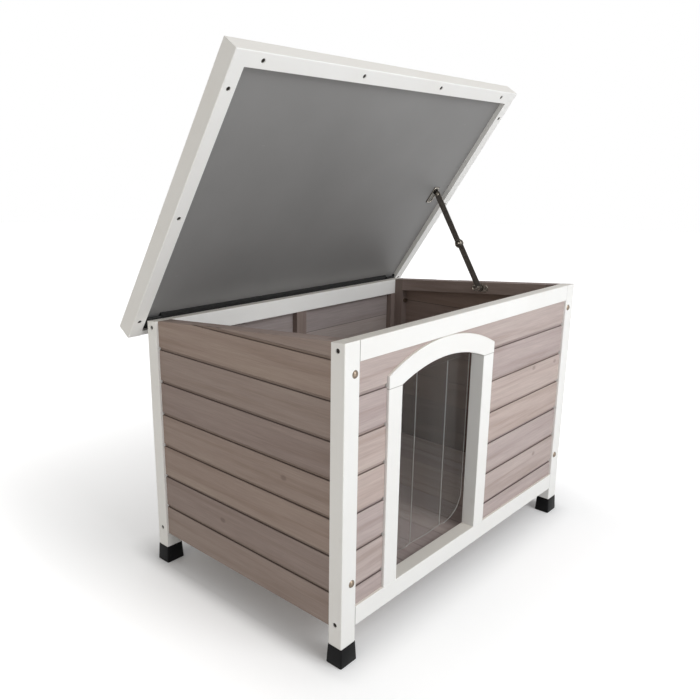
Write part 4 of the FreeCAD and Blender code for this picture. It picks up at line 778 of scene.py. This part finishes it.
class DOGHOUSE_OT_cover_roof(Operator):
    """Lay the felt on the deck and nail it down"""
    bl_idname = "dog_house.cover_roof"
    bl_label = "Cover the Roof"

    def execute(self, context):
        looks = context.scene.dog_house.roof
        low, high = lid_box("roof_felt")
        x = np.linspace(low[0], high[0], 120)
        y = np.linspace(low[1], high[1], 80)
        grid_y, grid_x = np.meshgrid(y, x, indexing="ij")
        # Ripples: the sum of two slow waves, which fades to nothing at the edges.
        edge = np.minimum(np.minimum(grid_x - low[0], high[0] - grid_x),
                          np.minimum(grid_y - low[1], high[1] - grid_y))
        fade = np.clip(edge / 0.03, 0, 1)
        wave = (0.5 + 0.25 * np.sin(grid_x * 23 + 2 * np.sin(grid_y * 9))
                + 0.25 * np.sin(grid_y * 31 + 1.3))
        top = np.stack([grid_x, grid_y, high[2] - looks.ripple * fade * wave], -1)
        under = np.stack([grid_x, grid_y, np.full_like(grid_x, low[2])], -1)[:, ::-1]
        rings = on_lid(np.concatenate([top, under], 1))
        new_piece("mineral_roof_felt", skin(rings), mineral_felt("slate_faced_felt"), "lid",
                  ["roof_felt"], 50)
        self.nail(looks, low, high)
        return {"FINISHED"}

    def nail(self, looks, low, high):
        """Clout nails in a row 12 mm inside the felt's edge, heads half a millimetre proud."""
        inset = 0.012
        radius = looks.nail_head / 2
        spans = high[:2] - low[:2] - 2 * inset
        across, along = (int(round(span / looks.nail_pitch)) for span in spans)
        xs = np.linspace(low[0] + inset, high[0] - inset, across + 1)
        ys = np.linspace(low[1] + inset, high[1] - inset, along + 1)[1:-1]
        places = [(x, y) for x in xs for y in (ys[0] - (ys[1] - ys[0]), ys[-1] + (ys[1] - ys[0]))]
        places += [(x, y) for x in (xs[0], xs[-1]) for y in ys]
        profile = [(radius * 0.98, -0.001), (radius, 0.0), (radius * 0.92, 0.0003),
                   (radius * 0.4, 0.0005)]
        shells = []
        for x, y in places:
            shells.append(skin(on_lid(lathe(profile, (x, y, high[2]), (0, 0, 1), 12))))
        zinc = plated_steel("galvanised_clout", linear("#a9abad")[:3], 0.45, 0.35)
        new_piece("clout_nails", join(shells), zinc, "lid", ())


class DOGHOUSE_OT_hang_flap(Operator):
    """Hang the clear strips in the doorway"""
    bl_idname = "dog_house.hang_flap"
    bl_label = "Hang the Flap"

    def execute(self, context):
        looks = context.scene.dog_house.flap
        clear = clear_sheet("clear_pvc_sheet")
        edge = polished_edge("cut_pvc_edge")
        dress(clear, "flap_header")
        for word, side in (("left", -1), ("middle", 0), ("right", 1)):
            self.strip(looks, word, side, clear, edge)
        return {"FINISHED"}

    def strip(self, looks, word, side, clear, edge):
        """A strip: the outer ones are cut to a quarter circle at the foot, and all bow.

        The bow grows with the power 1.5 of the way down, times one wave across the strip.
        """
        low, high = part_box(f"flap_strip_{word}")
        corner = STRIP_CORNER if side else 0.0
        thick = high.y - low.y
        middle_y = (high.y + low.y) / 2
        turn = np.linspace(0, np.pi / 2, 14)
        straight = np.linspace(high.z - thick / 2, low.z + STRIP_CORNER + 0.001, 30)
        z = np.concatenate([[high.z], straight, low.z + STRIP_CORNER * (1 - np.sin(turn[1:]))])
        drop = np.clip((low.z + corner - z) / STRIP_CORNER, 0, 1)
        cut = corner * (1 - np.sqrt(1 - drop ** 2))
        left = low.x + cut * (side < 0)
        right = high.x - cut * (side > 0)
        share = np.linspace(0, 1, 12)
        x = left[:, None] + (right - left)[:, None] * share
        fall = (high.z - z) / (high.z - low.z)
        bow = looks.bow * fall[:, None] ** 1.5 * np.cos(2 * np.pi * (share[None] - 0.1 * side))
        half = np.full_like(z, thick / 2 * 0.8)
        half[0] = thick * 0.1
        z_all = np.repeat(z[:, None], len(share), 1)
        front = np.stack([x, middle_y + bow - half[:, None], z_all], -1)
        back = np.stack([x, middle_y + bow + half[:, None], z_all], -1)[:, ::-1]
        made = new_piece(f"clear_strip_{word}", skin(np.concatenate([front, back], 1)), clear,
                         f"strip_{word}", [f"flap_strip_{word}"], 40)
        made.data.materials.append(edge)
        normals = np.empty(len(made.data.polygons) * 3)
        made.data.polygons.foreach_get("normal", normals)
        rim = np.abs(normals.reshape(-1, 3)[:, 1]) < 0.5
        made.data.polygons.foreach_set("material_index", rim.astype(np.int32))


class DOGHOUSE_OT_fit_caps(Operator):
    """Push the moulded caps on the feet of the posts"""
    bl_idname = "dog_house.fit_caps"
    bl_label = "Fit the Foot Caps"

    def execute(self, context):
        looks = context.scene.dog_house.caps
        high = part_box("foot_caps")[1]
        posts = [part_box(f"post_{end}_{side}")
                 for end in ("front", "rear") for side in ("left", "right")]
        size = posts[0][1] - posts[0][0]
        half_x, half_y = size.x / 2, size.y / 2
        outer_post = max(post[1].x for post in posts)
        flare = high.x - outer_post
        wall = 0.0011
        floor = 0.004
        lip = looks.lip
        # Each level is a height and how far the cap stands out of the post there.
        levels = [(0.0, flare - lip), (lip * 0.3, flare - lip * 0.3), (lip, flare),
                  (high.z * 0.5, (flare + wall) / 2), (high.z - lip, wall),
                  (high.z - lip * 0.3, wall - 0.0002),
                  (high.z, wall - 0.0005), (high.z, 0.0002), (high.z - 0.0005, 0.0), (floor, 0.0)]
        levels = [(min(z, high.z), grow) for z, grow in levels]
        shells = []
        for post in posts:
            middle = (post[0] + post[1]) / 2
            rings = np.array([
                rounded_rectangle(half_x + grow, half_y + grow,
                                  looks.corner if z > 0 and grow > 0.0004 else 0.0015, z)
                for z, grow in levels])
            shells.append(skin(rings + np.array([middle.x, middle.y, 0.0])))
        new_piece("moulded_foot_caps", join(shells), moulded_plastic("black_moulded_cap"), "house",
                  ["foot_caps"], 40)
        return {"FINISHED"}


class DOGHOUSE_OT_fit_fittings(Operator):
    """Fit bolts, nuts, screws and hinges"""
    bl_idname = "dog_house.fit_fittings"
    bl_label = "Fit Bolts, Screws and Hinges"

    def execute(self, context):
        looks = context.scene.dog_house.fittings
        zinc = plated_steel("zinc_plated_steel", tuple(looks.zinc), 0.28, 0.25)
        dark = coated_steel("black_phosphated_screw", linear("#2b2723")[:3], 0.45)
        black = coated_steel("black_powder_coat", linear("#141414")[:3], 0.5)
        dress(zinc, "frame_bolts", "frame_nuts")
        dress(dark, "rail_screws", "lid_screws")
        dress(black, "hinge_box_leaves", "hinge_lid_leaves", "hinge_pins")
        low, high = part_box("hinge_box_leaves")
        leaf = low.y + SHEET_METAL
        shells = []
        for side in (-1, 1):
            middle = side * (high.x - HINGE_HALF_WIDTH)
            for step, rise in ((-0.0095, 0.014), (0, 0.006), (0.0095, 0.014)):
                place = (middle + step, leaf, low.z + rise)
                shells.append(skin(lathe(head(*HINGE_SCREW), place, (0, 1, 0), 20)))
        new_piece("hinge_screws", join(shells), black, "house", (), 50)
        return {"FINISHED"}


class DOGHOUSE_OT_fit_stay(Operator):
    """Fit the folding stay with its domed rivets"""
    bl_idname = "dog_house.fit_stay"
    bl_label = "Fit the Stay"

    def execute(self, context):
        looks = context.scene.dog_house.fittings
        nickel = plated_steel("nickel_plated_steel", tuple(looks.nickel), 0.22, 0.2)
        dark = coated_steel("dark_coated_steel", tuple(looks.dark), 0.38)
        # A darkened copy of the nickel is painted shade: on the plate under the lid and in the knuckle dome's
        # trough.
        shaded = tuple(c * SHADED_PLATE for c in looks.nickel)
        painted_shade_nickel = plated_steel("nickel_plate_in_shade", shaded, 0.35, 0.25)
        dress(nickel, "stay_knuckle_cap", "stay_knuckle_rivet", "stay_box_rivet", "stay_lid_rivet",
              "stay_box_bracket")
        # The plate under the lid is coloured darker: painted shade.
        dress(painted_shade_nickel, "stay_lid_bracket")
        dress(dark, "stay_lower_link", "stay_upper_link")
        self.rivets(looks, nickel, painted_shade_nickel)
        self.lid_plate(nickel, dark)
        self.box_plate(nickel, dark)
        return {"FINISHED"}

    def rivets(self, looks, nickel, painted_shade_nickel):
        """Domes on the rivets: a raised ring about a dome at the knuckle, plain at the ends."""
        low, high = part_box("stay_knuckle_rivet")
        middle = (low + high) / 2
        profile = [(9.3, -0.3), (9.4, 0.3), (8.9, 0.9), (7.9, 1.1), (7.0, 0.8), (6.6, 0.2),
                   (4.4, 0.15), (4.0, 0.8), (3.2, 1.4), (1.8, 1.75), (0.5, 1.85)]
        rings = lathe(np.array(profile) / 1000, (low.x, middle.y, middle.z), (-1, 0, 0), 40)
        made = new_piece("stay_knuckle_dome", skin(rings), nickel, "stay_upper",
                         (), 50)
        made.data.materials.append(painted_shade_nickel)
        centres = np.empty(len(made.data.polygons) * 3)
        made.data.polygons.foreach_get("center", centres)
        away = np.hypot(centres[1::3] - middle.y, centres[2::3] - middle.z)
        # The trough between the ring and the dome takes the darkened nickel: painted shade.
        painted_shade_trough = (away > 0.0043) & (away < 0.0068)
        made.data.polygons.foreach_set("material_index", painted_shade_trough.astype(np.int32))
        # The folded upper link passes 0.3 mm above the rivet on the batten.
        for name, body, rise in (("stay_lid_rivet", "lid", looks.dome),
                                 ("stay_box_rivet", "house", 0.0002)):
            low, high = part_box(name)
            middle = (low + high) / 2
            radius = (high.z - low.z) / 2
            rings = lathe(head(radius * 0.97, rise), (low.x, middle.y, middle.z), (-1, 0, 0), 32)
            new_piece(name + "_dome", skin(rings), nickel, body, (), 50)

    def lid_plate(self, nickel, dark):
        """A raised rim round the plate under the lid, and two screws beside its lug."""
        low, high = lid_box("stay_lid_bracket")
        face = high[2] - SHEET_METAL
        half_x, half_y = (high[0] - low[0]) / 2 - 0.0012, (high[1] - low[1]) / 2 - 0.0012
        middle = np.array([(low[0] + high[0]) / 2, (low[1] + high[1]) / 2, face])
        path = rounded_rectangle(half_x, half_y, 0.005, 0.0) + middle
        points, faces = tube(path, (0, 0, 1), 0.0014)
        new_piece("stay_lid_bracket_rim", (on_lid(points), faces), nickel, "lid",
                  (), 50)
        shells = []
        for share in (0.2, 0.82):
            place = (low[0] + 0.0065, low[1] + share * (high[1] - low[1]), face)
            shells.append(skin(on_lid(lathe(head(*BRACKET_SCREW), place, (0, 0, -1), 20))))
        new_piece("stay_lid_bracket_screws", join(shells), dark, "lid", (), 50)

    def box_plate(self, nickel, dark):
        """A rolled edge round the plate on the batten, and a screw at each end of it."""
        low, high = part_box("stay_box_bracket")
        middle = (low + high) / 2
        face = high.x - SHEET_METAL
        half_y, half_z = (high.y - low.y) / 2 - 0.0008, (high.z - low.z) / 2 - 0.0008
        flat = rounded_rectangle(half_y, half_z, half_z * 0.99, 0.0, 10)
        path = np.stack([np.full(len(flat), face), flat[:, 0] + middle.y,
                         flat[:, 1] + middle.z], -1)
        new_piece("stay_box_bracket_rim", tube(path, (1, 0, 0), 0.001), nickel, "house",
                  (), 50)
        shells = []
        for way in (-1, 1):
            place = (face, middle.y + way * (half_y - 0.0055), middle.z)
            shells.append(skin(lathe(head(*BRACKET_SCREW), place, (-1, 0, 0), 20)))
        new_piece("stay_box_bracket_screws", join(shells), dark, "house", (), 50)


class DOGHOUSE_OT_set_stage(Operator):
    """Set the floor, the lamps and the camera"""
    bl_idname = "dog_house.set_stage"
    bl_label = "Set the Stage"

    def execute(self, context):
        looks = context.scene.dog_house.stage
        scene = context.scene
        scene.view_settings.view_transform = "Standard"
        self.floor(looks)
        self.world(scene, looks)
        self.lamp("front_lamp", (-0.2, -3.2, 1.4), (0.0, 0.0, 0.5), 1.8, looks.front)
        self.lamp("high_lamp", (0.2, -3.0, 2.3), (0.0, 0.0, 0.5), 1.8, looks.high,
                  (0.95, 0.975, 1.0))
        self.lamp("low_lamp", (-0.3, -2.6, 0.3), (0.0, 0.0, 0.95), 0.9, looks.low, spread=50)
        self.lamp("side_lamp", (-3.2, 0.1, 1.0), (0.0, 0.0, 0.4), 1.8, looks.side, (1.0, 0.9, 0.74))
        self.camera(scene)
        return {"FINISHED"}

    def floor(self, looks):
        """A wide disc; the camera sees it lifted to white away from the shadow by painted glow."""
        material, tree, shader = new_material("studio_floor_paper")
        space = pattern_space(tree, GRAIN_X)
        fleck = add(tree, "ShaderNodeTexNoise", {"Vector": space, "Scale": 40.0, "Detail": 3.0})
        rough = add(tree, "ShaderNodeMapRange", {"Value": fleck, "To Min": 0.75, "To Max": 0.95})
        plug(tree, shader, Base_Color=tone(looks.floor), Roughness=rough)
        seen = seen_directly(tree)
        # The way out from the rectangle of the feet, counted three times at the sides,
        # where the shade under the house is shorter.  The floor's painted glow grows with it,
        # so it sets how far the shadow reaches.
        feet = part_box("foot_caps")[1]
        out = add(tree, "ShaderNodeVectorMath", {0: space}, operation="ABSOLUTE")
        out = add(tree, "ShaderNodeVectorMath", {
            0: out, 1: (feet.x, feet.y, 0.0)}, operation="SUBTRACT")
        out = add(tree, "ShaderNodeVectorMath", {0: out, 1: (0, 0, 0)}, operation="MAXIMUM")
        out = add(tree, "ShaderNodeVectorMath", {0: out, 1: (3, 1, 0)}, operation="MULTIPLY")
        out = add(tree, "ShaderNodeVectorMath", {0: out}, operation="LENGTH").outputs["Value"]
        rise = add(tree, "ShaderNodeValToRGB", {"Fac": out}, [
            (0.0, (0.06, 0.06, 0.06, 1)), (0.05, (0.2, 0.2, 0.2, 1)), (0.1, (0.32, 0.32, 0.32, 1)),
            (0.5, (0.5, 0.5, 0.5, 1)), (1.0, (0.8, 0.8, 0.8, 1))])
        lift = add(tree, "ShaderNodeMath", {0: seen, 1: rise}, operation="MULTIPLY")
        plug(tree, shader, Emission_Color=(1, 1, 1, 1), Emission_Strength=lift)
        angle = np.linspace(0, 2 * np.pi, 96, endpoint=False)
        rim = np.stack([FLOOR_RADIUS * np.cos(angle), FLOOR_RADIUS * np.sin(angle),
                        np.full_like(angle, -FLOOR_DROP)], -1)
        mesh = bpy.data.meshes.new("studio_floor")
        mesh.from_pydata(rim.tolist(), [], [list(range(len(rim)))])
        mesh.materials.append(material)
        made = bpy.data.objects.new("studio_floor", mesh)
        bpy.context.scene.collection.objects.link(made)

    def world(self, scene, looks):
        """Even light from all round; seen directly or in gloss the world is white."""
        world = bpy.data.worlds.new("studio_world")
        scene.world = world
        world.use_nodes = True
        tree = world.node_tree
        tree.nodes.clear()
        seen = seen_directly(tree)
        strength = add(tree, "ShaderNodeMapRange", {
            "Value": seen, "To Min": looks.ambient, "To Max": 1.0})
        light = add(tree, "ShaderNodeBackground", {"Color": (1, 1, 1, 1), "Strength": strength})
        add(tree, "ShaderNodeOutputWorld", {"Surface": light})

    def lamp(self, name, place, target, size, power, colour=(1.0, 1.0, 1.0), spread=180):
        """A square soft lamp that faces the target and isn't seen itself."""
        data = bpy.data.lights.new(name, "AREA")
        data.shape = "SQUARE"
        data.size = size
        data.energy = power
        data.color = colour
        data.spread = math.radians(spread)
        made = bpy.data.objects.new(name, data)
        made.visible_camera = False
        made.location = place
        made.rotation_euler = (Vector(target) - Vector(place)).to_track_quat("-Z", "Y").to_euler()
        bpy.context.scene.collection.objects.link(made)

    def camera(self, scene):
        """The camera of the photograph, solved from its straight edges."""
        yaw, pitch, roll = (math.radians(angle) for angle in CAMERA_TURN)
        ahead = Vector((math.sin(yaw) * math.cos(pitch), math.cos(yaw) * math.cos(pitch),
                        math.sin(pitch)))
        right = Vector((math.cos(yaw), -math.sin(yaw), 0))
        up = right.cross(ahead)
        right_rolled = right * math.cos(roll) + up * math.sin(roll)
        up_rolled = up * math.cos(roll) - right * math.sin(roll)
        data = bpy.data.cameras.new("photo_camera")
        data.sensor_width = SENSOR_WIDTH
        data.lens = FOCAL_PIXELS / IMAGE_PIXELS * SENSOR_WIDTH
        data.shift_x, data.shift_y = CAMERA_SHIFT
        data.clip_start = 0.05
        made = bpy.data.objects.new("photo_camera", data)
        basis = Matrix((right_rolled, up_rolled, -ahead)).transposed().to_4x4()
        made.matrix_world = Matrix.Translation(CAMERA_PLACE) @ basis
        bpy.context.scene.collection.objects.link(made)
        scene.camera = made


GROUPS = (TimberLooks, FlapLooks, CapLooks, RoofLooks, FittingLooks, StageLooks, DogHouseLooks)
STEPS = (DOGHOUSE_OT_paint_frame, DOGHOUSE_OT_stain_boards, DOGHOUSE_OT_line_lid,
         DOGHOUSE_OT_cover_roof, DOGHOUSE_OT_hang_flap, DOGHOUSE_OT_fit_caps,
         DOGHOUSE_OT_fit_fittings, DOGHOUSE_OT_fit_stay, DOGHOUSE_OT_set_stage)


class DOGHOUSE_PT_looks(Panel):
    """Lists the steps and their sizes"""
    bl_label = "Dog House"
    bl_space_type = "VIEW_3D"
    bl_region_type = "UI"
    bl_category = "Dog House"

    def draw(self, context):
        looks = context.scene.dog_house
        for step in STEPS:
            self.layout.operator(step.bl_idname)
        for part in (looks.timber, looks.flap, looks.caps, looks.roof, looks.fittings, looks.stage):
            box = self.layout.box()
            for name in part.__annotations__:
                box.prop(part, name)


def register():
    """Makes the classes known and hangs the looks on the scene."""
    for kind in GROUPS + STEPS + (DOGHOUSE_PT_looks,):
        bpy.utils.register_class(kind)
    bpy.types.Scene.dog_house = PointerProperty(type=DogHouseLooks)


def unregister():
    """Takes back what register did."""
    del bpy.types.Scene.dog_house
    for kind in reversed(GROUPS + STEPS + (DOGHOUSE_PT_looks,)):
        bpy.utils.unregister_class(kind)


def main():
    """Dresses the dog house."""
    register()
    for step in STEPS:
        group, name = step.bl_idname.split(".")
        getattr(getattr(bpy.ops, group), name)()


if __name__ == "__main__":
    main()
